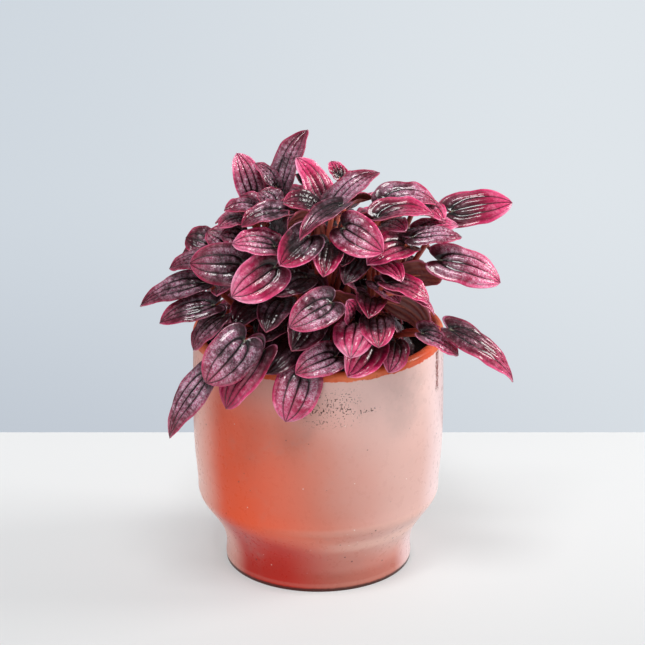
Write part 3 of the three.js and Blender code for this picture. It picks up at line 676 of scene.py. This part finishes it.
leafPaint = {
    "stops": [(0.0, rgb(34, 10, 17)), (0.16, rgb(60, 10, 26)), (0.33, rgb(114, 12, 46)), (0.5, rgb(168, 18, 70)),
              (0.74, rgb(226, 62, 118)), (1.0, rgb(250, 148, 182))],
    "purple": rgb(140, 46, 100), "margin": rgb(250, 166, 202), "silver": rgb(255, 224, 242), "mauve": rgb(202, 80, 132),
    "vein": rgb(16, 8, 10), "halo": rgb(48, 6, 18), "patch": rgb(32, 11, 15), "seat": rgb(190, 184, 158),
    "veinPlaces": (0.0, 0.43, 0.8), "veinShares": (1.0, 0.95, 0.3), "rungEvery": 2.4,
    "coat": 0.68, "coatRoughness": 0.13, "gloss": 0.16,
}
toneParts = ("pinkness", "silverness", "darkness", "hue")


def leafTopPaint():
    paint = Paint("leaf_upper_face")
    u, v, halfWidth = paint.stored("alongBlade"), paint.stored("acrossBlade"), paint.stored("halfWidth")
    pinkness, silverness, darkness, hue = [paint.stored(name) for name in toneParts]
    crest, length = paint.stored("crest"), paint.stored("bladeLength")
    place = paint.place()
    cloud = paint.noise(place, 90, 3)
    mottle = paint.noise(place, 420, 4, 0.6)
    grain = paint.noise(place, 1500, 2)
    side = v.abs()
    edgeGap = (1 - side) * halfWidth

    # from a dark patch at the stalk, through maroon, to pink at the edge and tip
    ripe = u * 0.66 + side ** 5 * 0.32 + 0.07 + (cloud - 0.5) * 0.55 + (mottle - 0.5) * 0.2
    ripe = ripe * (pinkness * 0.35 + 0.68) + (pinkness - 0.5) * 0.45 - darkness * 0.26
    colour = paint.node("ShaderNodeValToRGB", {"stops": leafPaint["stops"]}, {0: ripe})
    colour = paint.mix(hue * 0.6, colour, paint.mix(1.0, colour, leafPaint["purple"], "MULTIPLY"))
    patch = u + side * 0.3 - crest * 0.24 + (cloud - 0.5) * 0.15 + (mottle - 0.5) * 0.3 - darkness * 0.28
    colour = paint.mix(patch.step(0.44, 0.0) * (0.5 + darkness * 0.8), colour, leafPaint["patch"])

    # a pale bloom on the raised panels between the veins: partly the leaf's own silvering and partly a painted
    # highlight on the raised panels
    rung = (u * length / leafPaint["rungEvery"] - side * 1.6 + hue * 9 + (mottle - 0.5) * 0.6).fraction()
    rung = (rung - 0.5).abs().step(0.2, 0.04)
    panel = crest.step(0.1, 0.65) * side.step(1.05, 0.75) * u.step(0.02, 0.2) * (1 - u.step(0.55, 1.0) * 0.75)
    bloomAndPaintedSheen = panel * (cloud * 0.45 + mottle * 0.3 + silverness * 0.16).step(0.37, 0.565) * (1 - rung * 0.3)
    bloomAndPaintedSheenColour = paint.mix((mottle * 0.25 + grain * 0.8).step(0.37, 0.69), leafPaint["mauve"], leafPaint["silver"])
    colour = paint.mix(bloomAndPaintedSheen * (silverness * 0.95 + 0.02), colour, bloomAndPaintedSheenColour)

    # dark veins, each with a softer dark edge
    lineWidth = (1 - u) * (1 - u) * 0.38 + 0.2
    line, halo = None, None
    for share, veinPlace in zip(leafPaint["veinShares"], leafPaint["veinPlaces"]):
        gap = ((side - veinPlace).abs() * halfWidth + (mottle - 0.5) * 0.25) / lineWidth
        own, around = gap.step(1.4, 0.7) * share, gap.step(4.2, 0.8) * share
        line, halo = (own, around) if line is None else (line.most(own), halo.most(around))
    colour = paint.mix(halo * (0.6 - u * 0.4), colour, leafPaint["halo"])
    colour = paint.mix(line * (1.0 - u * 0.4), colour, leafPaint["vein"])

    # a thin pink margin, and a pale seat where the stalk joins
    margin = (edgeGap + (mottle - 0.5) * 0.2).step(0.4, 0.1) * (0.12 + pinkness * 0.4 - darkness * 0.05)
    margin = margin * (cloud * 0.6 + mottle * 0.4).step(0.38, 0.6)
    colour = paint.mix(margin, colour, leafPaint["margin"])
    seat = (u * 16 + side * 1.2).step(1.1, 0.3)
    colour = paint.mix(seat * 0.5, colour, leafPaint["seat"])

    roughness = 0.24 + mottle * 0.16
    bumps = paint.bump(mottle * 0.8 + grain * 0.4 - rung * 0.35 - line * 0.8, mm(0.34), 0.8)
    return paint.finish(colour, roughness, bumps, Coat_Weight=leafPaint["coat"],
                        Coat_Roughness=leafPaint["coatRoughness"], Specular_IOR_Level=leafPaint["gloss"])


underPaint = {
    "low": rgb(136, 50, 50), "high": rgb(176, 94, 80), "dark": rgb(78, 28, 34), "vein": rgb(168, 88, 66),
    "margin": rgb(214, 96, 122), "veinShares": (1.0, 0.8, 0.5),
}


def leafUnderPaint():
    paint = Paint("leaf_lower_face")
    v, halfWidth, darkness = [paint.stored(name) for name in ("acrossBlade", "halfWidth", "darkness")]
    place = paint.place()
    cloud, mottle = paint.noise(place, 110, 3), paint.noise(place, 500, 4, 0.6)
    side, lines = v.abs(), None
    for share, veinPlace in zip(underPaint["veinShares"], leafPaint["veinPlaces"]):
        line = ((side - veinPlace).abs() * halfWidth).step(0.9, 0.3) * share
        lines = line if lines is None else lines.most(line)
    margin = ((1 - side) * halfWidth).step(1.2, 0.2)
    colour = paint.mix(cloud.step(0.3, 0.7), underPaint["low"], underPaint["high"])
    colour = paint.layers(colour, (darkness, underPaint["dark"]), (lines * 0.5, underPaint["vein"]),
                          (margin * 0.7, underPaint["margin"]))
    bumps = paint.bump(mottle, mm(0.2), 0.6)
    return paint.finish(colour, 0.42 + mottle * 0.15, bumps, Coat_Weight=0.15, Coat_Roughness=0.3)


stalkColours = {
    "low": rgb(186, 56, 44), "high": rgb(228, 116, 88), "shadedStalk": rgb(112, 24, 26), "fleck": rgb(228, 142, 104),
}


def stalkPaint():
    paint = Paint("stalk_skin")
    t, shade = paint.stored("alongStalk"), paint.stored("shade")
    place = paint.place()
    cloud, grain = paint.noise(place, 160, 3), paint.noise(place, 900, 3, 0.6)
    colour = paint.mix((t + (cloud - 0.5) * 0.5).step(0.1, 0.9), stalkColours["low"], stalkColours["high"])
    flecks = grain.step(0.55, 0.8) * 0.35
    # painted shade: shade darkens a stalk, nearly fully for the inner leaves' stalks deep in the crown and by a random
    # share for the others
    colour = paint.layers(colour, (shade, stalkColours["shadedStalk"]), (flecks, stalkColours["fleck"]))
    bumps = paint.bump(grain, mm(0.15), 0.6)
    return paint.finish(colour, 0.38 + grain * 0.15, bumps, Coat_Weight=0.25, Coat_Roughness=0.25)


stemColours = {"bark": rgb(84, 34, 24), "worn": rgb(128, 66, 40), "scar": rgb(60, 44, 32)}


def stemPaint():
    paint = Paint("stem_bark")
    place = paint.place()
    cloud, grain = paint.noise(place, 140, 4), paint.noise(place, 700, 4, 0.6)
    colour = paint.mix(cloud.step(0.3, 0.7), stemColours["bark"], stemColours["worn"])
    colour = paint.mix(grain.step(0.55, 0.75) * 0.6, colour, stemColours["scar"])
    return paint.finish(colour, 0.6 + grain * 0.2, paint.bump(grain + cloud, mm(0.5), 0.8))


soilColours = {"damp": rgb(32, 24, 20), "dry": rgb(52, 38, 30), "clod": rgb(78, 58, 44), "gap": rgb(18, 14, 12)}


def soilPaint():
    paint = Paint("damp_soil")
    place = paint.place()
    cloud, clod, grit = paint.noise(place, 60, 3), paint.noise(place, 330, 5, 0.7), paint.noise(place, 1400, 3)
    colour = paint.mix(cloud.step(0.35, 0.7), soilColours["damp"], soilColours["dry"])
    # the dips between the clods are painted near black, painted shade in the gaps
    colour = paint.layers(colour, (clod.step(0.55, 0.75) * 0.7, soilColours["clod"]),
                          (clod.step(0.45, 0.3) * 0.8, soilColours["gap"]))
    bumps = paint.bump(grit, mm(0.4), 0.7, paint.bump(clod, mm(1.2), 0.8))
    return paint.finish(colour, 0.86 + grit * 0.1, bumps)


potPaint = {
    "left": rgb(238, 84, 38), "middle": rgb(212, 128, 108), "right": rgb(218, 174, 164), "top": rgb(250, 214, 206),
    "lilacReflection": rgb(244, 218, 220), "peachReflection": rgb(255, 198, 180), "neckHighlight": rgb(244, 196, 180), "dust": rgb(250, 236, 230),
    "foot": rgb(190, 22, 6), "footRight": rgb(186, 104, 88), "footFlareLight": rgb(204, 130, 116),
    "rim": rgb(218, 82, 38), "rimLight": rgb(244, 130, 84), "clay": rgb(104, 48, 32), "soleAndContactShadow": rgb(62, 28, 22),
    "inside": rgb(206, 178, 172), "speck": rgb(66, 34, 26), "fleck": rgb(120, 36, 18), "smudge": rgb(176, 150, 144),
    "glazeTop": 124.4, "coat": 0.2, "coatRoughness": 0.08, "gloss": 0.2,
}


def near(value, middle, half, soft):
    # 1 within half of the middle, fading over soft
    return (value - middle).abs().step(half + soft, half)


def potGlaze():
    paint = Paint("pink_glaze")
    place = paint.place()
    x, y, z = paint.parts(place)
    x, y, z = x * 1000, y * 1000, z * 1000
    radius = (x * x + y * y) ** 0.5
    sideways = x / radius.most(1.0)
    front = y.step(10, -10)
    # the back gets the same pale painted reflection as the right
    around = sideways + y.step(0, 45) * 0.8  # the back is washed as pale as the right
    cloud, drift = paint.noise(place, 14, 4, 0.55), paint.noise(place, 45, 4, 0.6)
    mottle, fine = paint.noise(place, 260, 5, 0.65), paint.noise(place, 1100, 3)

    # from left to right the glaze goes from deep orange to pale pink: painted shade keeps the left deep orange, and a
    # painted reflection of the bright table makes the right, the back and the upper wall paler
    shadeToReflection = around + (z - 60) * 0.005 + (cloud - 0.5) * 0.35 + (drift - 0.5) * 0.16
    colour = paint.mix(shadeToReflection.step(-0.9, 0.2), potPaint["left"], potPaint["middle"])
    colour = paint.mix(shadeToReflection.step(-0.15, 0.75), colour, potPaint["right"])
    # painted light: the upper wall is painted paler where the foliage shades it
    colour = paint.mix((z + sideways * 18).step(84, 130) * 0.6, colour, potPaint["top"])
    # the foot is painted deep red on the left, painted shade under the overhanging wall, and paler on the right and up
    # its flare, painted light
    low = (z + around * 12 + (cloud - 0.5) * 8).step(34, 20)
    footRight = paint.mix(z.step(7, 13), potPaint["footRight"], potPaint["footFlareLight"])
    footColour = paint.mix(around.step(-0.4, 0.35), potPaint["foot"], footRight)
    colour = paint.mix(low * 0.92, colour, footColour)
    # painted reflections: a pale peach strip down the left edge and a pale lilac strip down the right edge
    colour = paint.mix(sideways.step(-0.74, -0.96) * 0.75, colour, potPaint["peachReflection"])
    colour = paint.mix(sideways.step(0.8, 0.98) * 0.7, colour, potPaint["lilacReflection"])
    colour = paint.mix(drift.step(0.5, 0.75) * mottle.step(0.35, 0.7) * 0.25, colour, potPaint["smudge"])
    # painted highlights: pale rolled bands at the neck, at the shoulder and just above the base
    neckHighlight = near(z, 28, 1.0, 4.5) * sideways.step(-0.15, 0.5) * 0.6
    neckHighlight = neckHighlight + near(z, 39.5, 0.8, 2.5) * sideways.step(-0.6, 0.4) * 0.25
    colour = paint.mix(neckHighlight + near(z, 3.4, 0.4, 1.0) * 0.1, colour, potPaint["neckHighlight"])
    haze = near(x, 45, 4, 12) * near(z, 106, 8, 16) * drift.step(0.35, 0.6) * front
    colour = paint.mix(haze * 0.3, colour, potPaint["smudge"])

    grainy = fine.step(0.56, 0.61) * mottle.step(0.42, 0.52)
    cluster = near(x, 7, 9, 9) * near(z, 110, 4, 9) * front
    row = near(x, 12, 14, 8) * near(z + x * 0.05, 108.6, 0.4, 1.4) * front
    line = near(sideways + (mottle - 0.5) * 0.03, 0.94, 0.006, 0.01) * near(z, 115, 10, 4)
    line = line * fine.step(0.42, 0.5) * front
    dots = paint.cells(place, 190.0)
    stray = dots.step(0.12, 0.07) * drift.step(0.52, 0.62)
    specks = (grainy * (cluster * 0.9 + row * 1.4)).most(line).least(1.0)
    colour = paint.mix(specks.most(stray * 0.8), colour, paint.mix(line, potPaint["speck"], potPaint["fleck"]))
    dust = paint.cells(place, 120.0)
    colour = paint.mix(dust.step(0.05, 0.025) * 0.8, colour, potPaint["dust"])

    edge = z + (mottle - 0.5) * 3.2 + (drift - 0.5) * 1.8
    rim = edge.step(potPaint["glazeTop"] - 0.3, potPaint["glazeTop"] + 0.3)
    rimColour = paint.mix(drift.step(0.35, 0.7), potPaint["rim"], potPaint["rimLight"])
    rimColour = paint.mix(mottle.step(0.58, 0.75) * 0.5, rimColour, potPaint["clay"])
    inner = radius.step(61.2, 60.4) * z.step(50, 56)
    colour = paint.mix(inner, colour, potPaint["inside"])
    colour = paint.mix(rim * (1 - inner * z.step(127, 123)), colour, rimColour)
    # the dark sole is partly the unglazed clay of the base and partly a painted contact shadow
    soleAndContactShadow = (z + (mottle - 0.5) * 1.2).step(2.4, 1.2)
    colour = paint.mix(soleAndContactShadow * 0.9, colour, potPaint["soleAndContactShadow"])

    roughness = 0.24 + mottle * 0.08 + rim * 0.15 + specks * 0.3 + soleAndContactShadow * 0.4
    bumps = paint.bump(mottle * 0.3 + fine * 0.1, mm(0.05), 0.35, paint.bump(drift, mm(0.3), 0.15))
    return paint.finish(colour, roughness, bumps, Coat_Weight=potPaint["coat"],
                        Coat_Roughness=potPaint["coatRoughness"], Specular_IOR_Level=potPaint["gloss"])


def makePiece(name, points, faces, paints, faceKinds=None, stored=None):
    mesh = bpy.data.meshes.new(name)
    mesh.from_pydata(mm(np.asarray(points, float)), [], faces)
    for paint in paints:
        mesh.materials.append(paint)
    if faceKinds is not None:
        mesh.polygons.foreach_set("material_index", np.asarray(faceKinds, np.int32))
    for key, values in (stored or {}).items():
        layer = mesh.attributes.new(key, "FLOAT", "POINT")
        layer.data.foreach_set("value", np.asarray(values, np.float32))
    mesh.shade_smooth()
    mesh.update()
    piece = bpy.data.objects.new(name, mesh)
    bpy.context.scene.collection.objects.link(piece)
    return piece


class Heap:
    # points, faces and stored values of many small shapes that become one mesh
    def __init__(self):
        self.points, self.faces, self.kinds, self.stored, self.count = [], [], [], {}, 0

    def put(self, points, faces, kinds, **stored):
        self.faces += [tuple(corner + self.count for corner in face) for face in faces]
        self.kinds += kinds
        self.points.append(points)
        for key, values in stored.items():
            self.stored.setdefault(key, []).append(np.broadcast_to(values, (len(points),)))
        self.count += len(points)

    def piece(self, name, paints):
        stored = {key: np.concatenate(values) for key, values in self.stored.items()}
        return makePiece(name, np.concatenate(self.points), self.faces, paints, self.kinds, stored)


def bladeFaces(rows, columns):
    # two like-split faces that share their rim; the base and tip are single points
    inner = columns - 2
    perRow = 2 + 2 * inner

    def top(r, c):
        if c == 0:
            return 2 + (r - 1) * perRow
        if c == columns - 1:
            return 3 + (r - 1) * perRow
        return 4 + (r - 1) * perRow + (c - 1)

    def under(r, c):
        if c in (0, columns - 1):
            return top(r, c)
        return 4 + (r - 1) * perRow + inner + (c - 1)
    faces, kinds = [], []
    for kind, at in ((0, top), (1, under)):
        made = []
        for c in range(columns - 1):
            made.append((0, at(1, c + 1), at(1, c)))
            for r in range(1, rows - 2):
                made.append((at(r, c), at(r, c + 1), at(r + 1, c + 1), at(r + 1, c)))
            made.append((1, at(rows - 2, c), at(rows - 2, c + 1)))
        if kind == 1:
            made = [tuple(reversed(face)) for face in made]
        faces += made
        kinds += [kind] * len(made)
    return faces, kinds


relief = {
    "pastEdge": 1.06, "puff": (0.38, 0.35, 0.14), "mostPuff": 1.8, "fullness": 0.45,
    "rib": 0.3, "ribEvery": 2.3, "keel": 0.5, "keelWidth": 0.8, "calmEdge": 0.85, "edgeWave": 0.2, "sink": 0.3,
    "thickness": 0.85, "thickFrom": 16, "tipBend": 0.05, "bendFrom": 0.55, "columnBend": 0.88,
    "slimBelow": 0.42, "roundOver": 0.25,
}

# the edge of a blade, from the stalk round to the tip: place on the midrib, half width, place along
roundEdge = [(0, 0, 0), (0.012, 0.1, -0.1), (0.04, 0.3, -0.19), (0.09, 0.58, -0.19), (0.16, 0.82, -0.09),
             (0.27, 0.97, 0.1), (0.38, 1.0, 0.28), (0.52, 0.97, 0.48), (0.66, 0.85, 0.67), (0.79, 0.63, 0.83),
             (0.9, 0.34, 0.94), (0.97, 0.1, 0.985), (1, 0, 1)]
slimEdge = [(0, 0, 0), (0.012, 0.1, -0.06), (0.04, 0.3, -0.11), (0.09, 0.6, -0.09), (0.16, 0.84, 0.01),
            (0.27, 0.99, 0.19), (0.38, 0.98, 0.36), (0.52, 0.85, 0.53), (0.66, 0.64, 0.69), (0.79, 0.41, 0.83),
            (0.9, 0.19, 0.93), (0.97, 0.055, 0.982), (1, 0, 1)]


def curveAt(corners, k, t):
    # a smooth curve through corners, from corner k to the next
    before, a, b, after = [corners[min(max(n, 0), len(corners) - 1)] for n in range(k - 1, k + 3)]
    return 0.5 * (2 * a + (b - before) * t + (2 * before - 5 * a + 4 * b - after) * t * t
                  + (3 * a - before - 3 * b + after) * t ** 3)


def edgeCurve(roundness):
    corners = np.array(roundEdge) * roundness + np.array(slimEdge) * (1 - roundness)
    out = [curveAt(corners, k, t) for k in range(len(corners) - 1) for t in np.arange(8) / 8]
    return np.array(out + [corners[-1]])


def puckers(u, v, halfWidth, length, seed):
    # how far the upper face rises between the veins, in millimetres, and how near a crest it is
    side = np.abs(v)
    bounds = [*leafPaint["veinPlaces"], relief["pastEdge"]]
    rise, crest = np.zeros_like(u), np.zeros_like(u)
    for low, high, puff in zip(bounds[:-1], bounds[1:], relief["puff"]):
        inside = (side >= low) & (side < high)
        share = (side - low) / (high - low)
        bulge = np.sin(np.pi * np.clip(share, 0, 1)) ** relief["fullness"]
        most = np.minimum(relief["mostPuff"], puff * (high - low) * halfWidth)
        rise = np.where(inside, bulge * most, rise)
        crest = np.where(inside, bulge, crest)
    panel = np.digitize(side, bounds[1:-1]) * 2.1 + np.sign(v) * 1.3
    along = u * length / relief["ribEvery"] * 2 * np.pi
    ribs = np.sin(along + side * 3.2 + panel + seed) + 0.45 * np.sin(along * 1.9 + panel * 3 + seed * 2.3 - side * 5)
    fade = np.sin(np.pi * np.clip(u, 0, 1)) ** 0.5
    fade = fade * (1 - side ** 5 * relief["calmEdge"])
    rise = rise + ribs * relief["rib"] * crest * fade * np.minimum(1, halfWidth / 6)
    return rise, crest


def bladeShape(i, rows, columns):
    # one blade's points, with where they lie on it; the last item is the underside's middle line
    leaves = plantLeaves
    uLine = (1 - np.cos(np.pi * np.linspace(0, 1, rows))) / 2
    bend = relief["columnBend"]
    vLine = np.sin(np.pi / 2 * np.linspace(-1, 1, columns) * bend) / math.sin(np.pi / 2 * bend)
    u, v = np.meshgrid(uLine, vLine, indexing="ij")
    seed = (i * 12.9898) % 6.283
    long, wide = leaves.length[i], leaves.width[i]
    edge = edgeCurve(min(1, max(0, (wide / long - relief["slimBelow"]) / relief["roundOver"])))

    def sheet(u, v):
        half = np.interp(u, edge[:, 0], edge[:, 1])
        along = u + (np.interp(u, edge[:, 0], edge[:, 2]) - u) * v * v
        wave = blade["waveHeight"] * wide * np.sin(blade["wavesAlong"] * u + blade["wavesAcross"] * v)
        up = long * leaves.arch[i] * 4 * u * (1 - u) + (leaves.cup[i] * wide / 2 + wave) * v * v * half
        up += relief["edgeWave"] * np.sin(u * 31 + seed + np.sign(v) * 1.4) * np.abs(v) ** 3 * half
        up -= np.clip(u - relief["bendFrom"], 0, 1) ** 2 * long * relief["tipBend"] * 4
        points = leaves.base[i] + leaves.along[i] * (along * long)[..., None] + leaves.face[i] * up[..., None]
        points = points + leaves.across[i] * (wide / 2 * v * half)[..., None]
        return clearOfPot(points, blade["potRoom"])
    middle = sheet(u, v)
    step = 1e-3
    inU, inV = np.clip(u, 0.01, 0.99 - step), v
    du = sheet(inU + step, inV) - sheet(inU, inV)
    dv = sheet(inU, inV + step) - sheet(inU, inV)
    normal = unit(np.cross(dv, du))
    normal = normal * np.sign(dot(normal, leaves.face[i]) + 1e-9)[..., None]
    halfWidth = wide / 2 * np.interp(u, edge[:, 0], edge[:, 1])
    rise, crest = puckers(u, v, halfWidth, long, seed)
    thickness = relief["thickness"] * min(1, wide / relief["thickFrom"])
    edgeShare = np.sqrt(np.clip(1 - np.abs(v) ** 10, 0, 1))
    keel = relief["keel"] * np.exp(-(v * halfWidth / relief["keelWidth"]) ** 2) * np.clip(1 - u * 1.3, 0, 1)
    up = rise - relief["sink"] * np.minimum(1, halfWidth / 4)
    top = middle + normal * (up + edgeShare * thickness / 2)[..., None]
    under = middle + normal * (up * 0.9 - edgeShare * thickness / 2 - keel)[..., None]
    rim = middle + normal * up[..., None]
    inner = columns - 2
    points, kept = [], ([], [], [], [])

    def keep(block, r, cols):
        points.append(block[r, cols])
        for values, out in zip((u, v, halfWidth, crest), kept):
            out.append(values[r, cols])
    middleColumn = slice(columns // 2, columns // 2 + 1)
    keep(middle, 0, middleColumn)
    keep(middle, rows - 1, middleColumn)
    for r in range(1, rows - 1):
        keep(rim, r, slice(0, 1))
        keep(rim, r, slice(columns - 1, columns))
        keep(top, r, slice(1, 1 + inner))
        keep(under, r, slice(1, 1 + inner))
    return np.concatenate(points), *[np.concatenate(out) for out in kept], under[:, columns // 2]


def ringFaces(rings, sides):
    # faces of a stack of rings, closed at each end to a point; the two points come after the rings
    faces = []
    for k in range(rings - 1):
        for s in range(sides):
            n = (s + 1) % sides
            faces.append((k * sides + s, k * sides + n, (k + 1) * sides + n, (k + 1) * sides + s))
    for s in range(sides):
        n = (s + 1) % sides
        faces.append((rings * sides, n, s))
        faces.append((rings * sides + 1, (rings - 1) * sides + s, (rings - 1) * sides + n))
    return faces


def tube(centres, radii, sides):
    # a smooth tube with closed ends round a run of centres
    ways = unit(np.gradient(centres, axis=0))
    across = np.zeros_like(centres)
    side = unit(np.cross(ways[0], [0.31, 0.95, 0.05]))
    for k in range(len(centres)):
        side = unit(side - ways[k] * dot(side, ways[k]))
        across[k] = side
    up = np.cross(ways, across)
    turn = np.linspace(0, 2 * np.pi, sides, endpoint=False)
    ring = across[:, None] * np.cos(turn)[None, :, None] + up[:, None] * np.sin(turn)[None, :, None]
    rings = centres[:, None] + ring * np.asarray(radii)[:, None, None]
    points = np.concatenate([rings.reshape(-1, 3), centres[:1], centres[-1:]])
    return points, ringFaces(len(centres), sides)


def lathe(profile, sectors, wobble):
    # turns a profile of radius and height about the middle; its ends lie on the axis, and wobble adds to the radius
    turn = np.linspace(0, 2 * np.pi, sectors, endpoint=False)
    body = np.array(profile[1:-1], float)
    radius, height = body[:, 0][:, None], body[:, 1][:, None]
    grow = wobble(height, turn[None])
    rings = np.stack([(radius + grow) * np.cos(turn), (radius + grow) * np.sin(turn),
                      np.broadcast_to(height, grow.shape)], axis=-1)
    points = np.concatenate([rings.reshape(-1, 3), [[0, 0, profile[0][1]], [0, 0, profile[-1][1]]]])
    return points, ringFaces(len(body), sectors)


def smoothProfile(corners, every):
    # a smooth run through the corners, with a point about every few millimetres
    corners = np.array(corners, float)
    out = [corners[0]]
    for k in range(len(corners) - 1):
        steps = max(1, int(np.linalg.norm(corners[k + 1] - corners[k]) / every))
        out += [curveAt(corners, k, s / steps) for s in range(1, steps + 1)]
    return [tuple(corner) for corner in out]


def makePot():
    lipRadius = pot["wall"] / 2
    lip = []
    for k in range(pot["lipSteps"] + 1):
        angle = math.pi * k / pot["lipSteps"]
        lip.append((pot["radius"] - lipRadius + (lipRadius + pot["lipBulge"]) * math.cos(angle),
                    pot["height"] - lipRadius + lipRadius * math.sin(angle)))
    sharp = pot["sharpCorners"]
    outside = pot["outside"][:sharp] + smoothProfile(pot["outside"][sharp:], pot["profileEvery"])
    profile = outside + lip + pot["inside"]

    def wobble(height, turn):
        # the hand of the maker: the lip is a little thick and thin
        lipShare = np.clip((height - pot["lipWaveFrom"]) / 8, 0, 1)
        lipWave = lipShare * pot["lipWave"] * np.sin(turn * 9 + 1) * np.sin(turn * 4)
        return lipWave + pot["bodyWave"] * np.sin(turn * 3 + height * 0.05)
    points, faces = lathe(profile, pot["sectors"], wobble)
    piece = makePiece("pot_body", points, faces, [potGlaze()])
    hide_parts("pot")
    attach(piece, "root")


makePot()
print("pot made")


def soilHeight(x, y):
    reach = math.hypot(x, y) / soil["edge"]
    lumps = sum(noise.noise(Vector((x * close, y * close, slice))) * high for close, slice, high in soil["lumps"])
    return soil["top"] - soil["sink"] + soil["swell"] * soil["fullness"] * (1 - reach * reach) + lumps


def makeSoil():
    heap = Heap()
    sectors, rings = soil["sectors"], soil["rings"]
    points = []
    for radius, height in [(soil["edge"] * k / rings, None) for k in range(1, rings + 1)] + soil["below"]:
        for turn in np.linspace(0, 2 * np.pi, sectors, endpoint=False):
            x, y = radius * math.cos(turn), radius * math.sin(turn)
            points.append((x, y, soilHeight(x, y) if height is None else height))
    points += [(0, 0, soilHeight(0, 0)), (0, 0, soil["bottom"])]
    faces = [face[:1] + face[:0:-1] for face in ringFaces(rings + len(soil["below"]), sectors)]
    heap.put(np.array(points), faces, [0] * len(faces))
    draw = drawFrom(soil["seed"])
    for _ in range(soil["crumbs"]):
        reach, angle = math.sqrt(draw(0, 1)) * (soil["edge"] - soil["crumbMargin"]), draw(0, 2 * math.pi)
        x, y, size = reach * math.cos(angle), reach * math.sin(angle), draw(*soil["crumbSize"]) ** 1.3
        centre = np.array([x, y, soilHeight(x, y) + size * 0.25])
        heap.put(*crumb(centre, size, draw))
    piece = heap.piece("soil_fill", [soilPaint()])
    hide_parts("soil")
    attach(piece, "root")


def crumb(centre, size, draw):
    # a small lump: two rings of six corners and two end points, each drawn in or out a little
    turn = np.linspace(0, 2 * np.pi, 6, endpoint=False) + draw(0, 1)
    bottom = (0, 0, -draw(0.5, 0.9))
    points = [(math.cos(a) * draw(0.6, 1.1), math.sin(a) * draw(0.6, 1.1), height * draw(0.7, 1.2))
              for height in (-0.35, 0.4) for a in turn]
    points += [bottom, (0, 0, draw(0.5, 0.95))]
    faces = ringFaces(2, 6)
    return np.array(points) * size + centre, faces, [0] * len(faces)


makeSoil()
print("soil made")

tones = {
    # pinkness, silverness, darkness, hue
    "silver": (0.62, 0.76, 0.27, 0.1), "rose": (0.82, 0.66, 0.1, 0.08), "pink": (0.9, 0.4, 0.05, 0.05),
    "mauve": (0.5, 0.55, 0.3, 0.4), "bright": (1.0, 0.5, 0.15, 0.0), "magenta": (0.72, 0.32, 0.02, 0.12),
    # the inner tone paints the leaves deep in the crown near black, painted shade; the dark tone is partly the leaves'
    # own dark colour and partly painted shade for the crown's dark middle
    "maroon": (0.45, 0.3, 0.3, 0.3), "dark": (0.25, 0.15, 0.7, 0.4), "cup": (1.0, 0.25, 1.0, 0.0),
    "inner": (0.0, 0.0, 1.0, 0.8), "young": (0.55, 0.6, 0.35, 0.2),
}
bladeGrid = {"large": (40, 27), "small": (26, 17)}
youngEvery = 3
lookSeeds = {"first": 1000, "step": 37}
leafTop, leafUnder, stalkSkin, stemSkin = leafTopPaint(), leafUnderPaint(), stalkPaint(), stemPaint()


def makeCrown(crown):
    name, place = crowns[crown]
    blades, stalks = Heap(), Heap()
    for i in range(leafCount):
        if crownOf[i] != crown:
            continue
        size = "large" if i < largeCount else "small"
        rows, columns = bladeGrid[size]
        points, u, v, halfWidth, crest, spine = bladeShape(i, rows, columns)
        draw = drawFrom(lookSeeds["first"] + i * lookSeeds["step"])
        tone = "young" if size == "small" and i % youngEvery == 0 else plantLeaves.tone[i]
        looks = [value + draw(-0.1, 0.1) for value in tones[tone]]
        blades.put(points, *bladeFaces(rows, columns), alongBlade=u, acrossBlade=v, halfWidth=halfWidth, crest=crest,
                   bladeLength=plantLeaves.length[i], **dict(zip(toneParts, looks)))

        # the stalk, which runs on under the blade as its midrib
        centres = onBend(stalkBend(i), np.linspace(0, 1, stalk["steps"]))
        centres[1:-1] = clearOfPot(centres[1:-1], stalk["potRoom"])
        thick = stalk["thick"][size]
        radii = np.linspace(*stalk["radii"], stalk["steps"]) * thick
        radii[0] *= stalk["flare"]
        midrib = spine[2:int(rows * stalk["midribReach"]):3] + plantLeaves.face[i] * stalk["midribLift"]
        radii = np.concatenate([radii[:-1], np.linspace(*stalk["midribRadii"], len(midrib)) * thick])
        centres = np.concatenate([centres[:-1], midrib])
        points, faces = tube(centres, radii, stalk["sides"])
        t = np.append(np.repeat(np.linspace(0, 1, len(centres)), stalk["sides"]), [0, 1])
        # the stalk's painted shade: most for the inner leaves' stalks deep in the crown, a random share for the others
        shade = draw(0, 0.8) if size == "large" else 0.9
        stalks.put(points, faces, [0] * len(faces), alongStalk=t, shade=shade)
    addStem(stalks, place, crown)
    for piece, slot in ((blades.piece(name + "_blades", [leafTop, leafUnder]), "leaves"),
                        (stalks.piece(name + "_stalks", [stalkSkin, stemSkin]), "stalks")):
        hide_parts(name)
        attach(piece, "root")


def addStem(heap, place, crown):
    # a short knobbly stem that the stalks leave
    foot, steps, cap = soil["top"] - stem["depth"], stem["steps"], stem["cap"]
    profile = [(0, foot)]
    for k in range(steps + 1):
        share = k / steps
        radius = stem["radius"] * (1 - stem["taper"] * share) * (1 + stem["ripple"] * math.sin(share * 19 + crown))
        if k > steps - len(cap):
            radius *= cap[k - steps - 1]
        profile.append((radius, foot + (stem["depth"] + stem["rise"]) * share))
    profile.append((0, soil["top"] + stem["rise"] + stem["capRise"]))

    def knobs(height, turn):
        return 0.45 * np.sin(turn * 4 + height * 0.6 + crown) + 0.3 * np.sin(turn * 7 - height * 0.9)
    points, faces = lathe(profile, stem["sides"], knobs)
    points[:, :2] += place
    heap.put(points, faces, [1] * len(faces), alongStalk=0.0, shade=1.0)


for crown in range(len(crowns)):
    makeCrown(crown)
    print("made", crowns[crown][0])
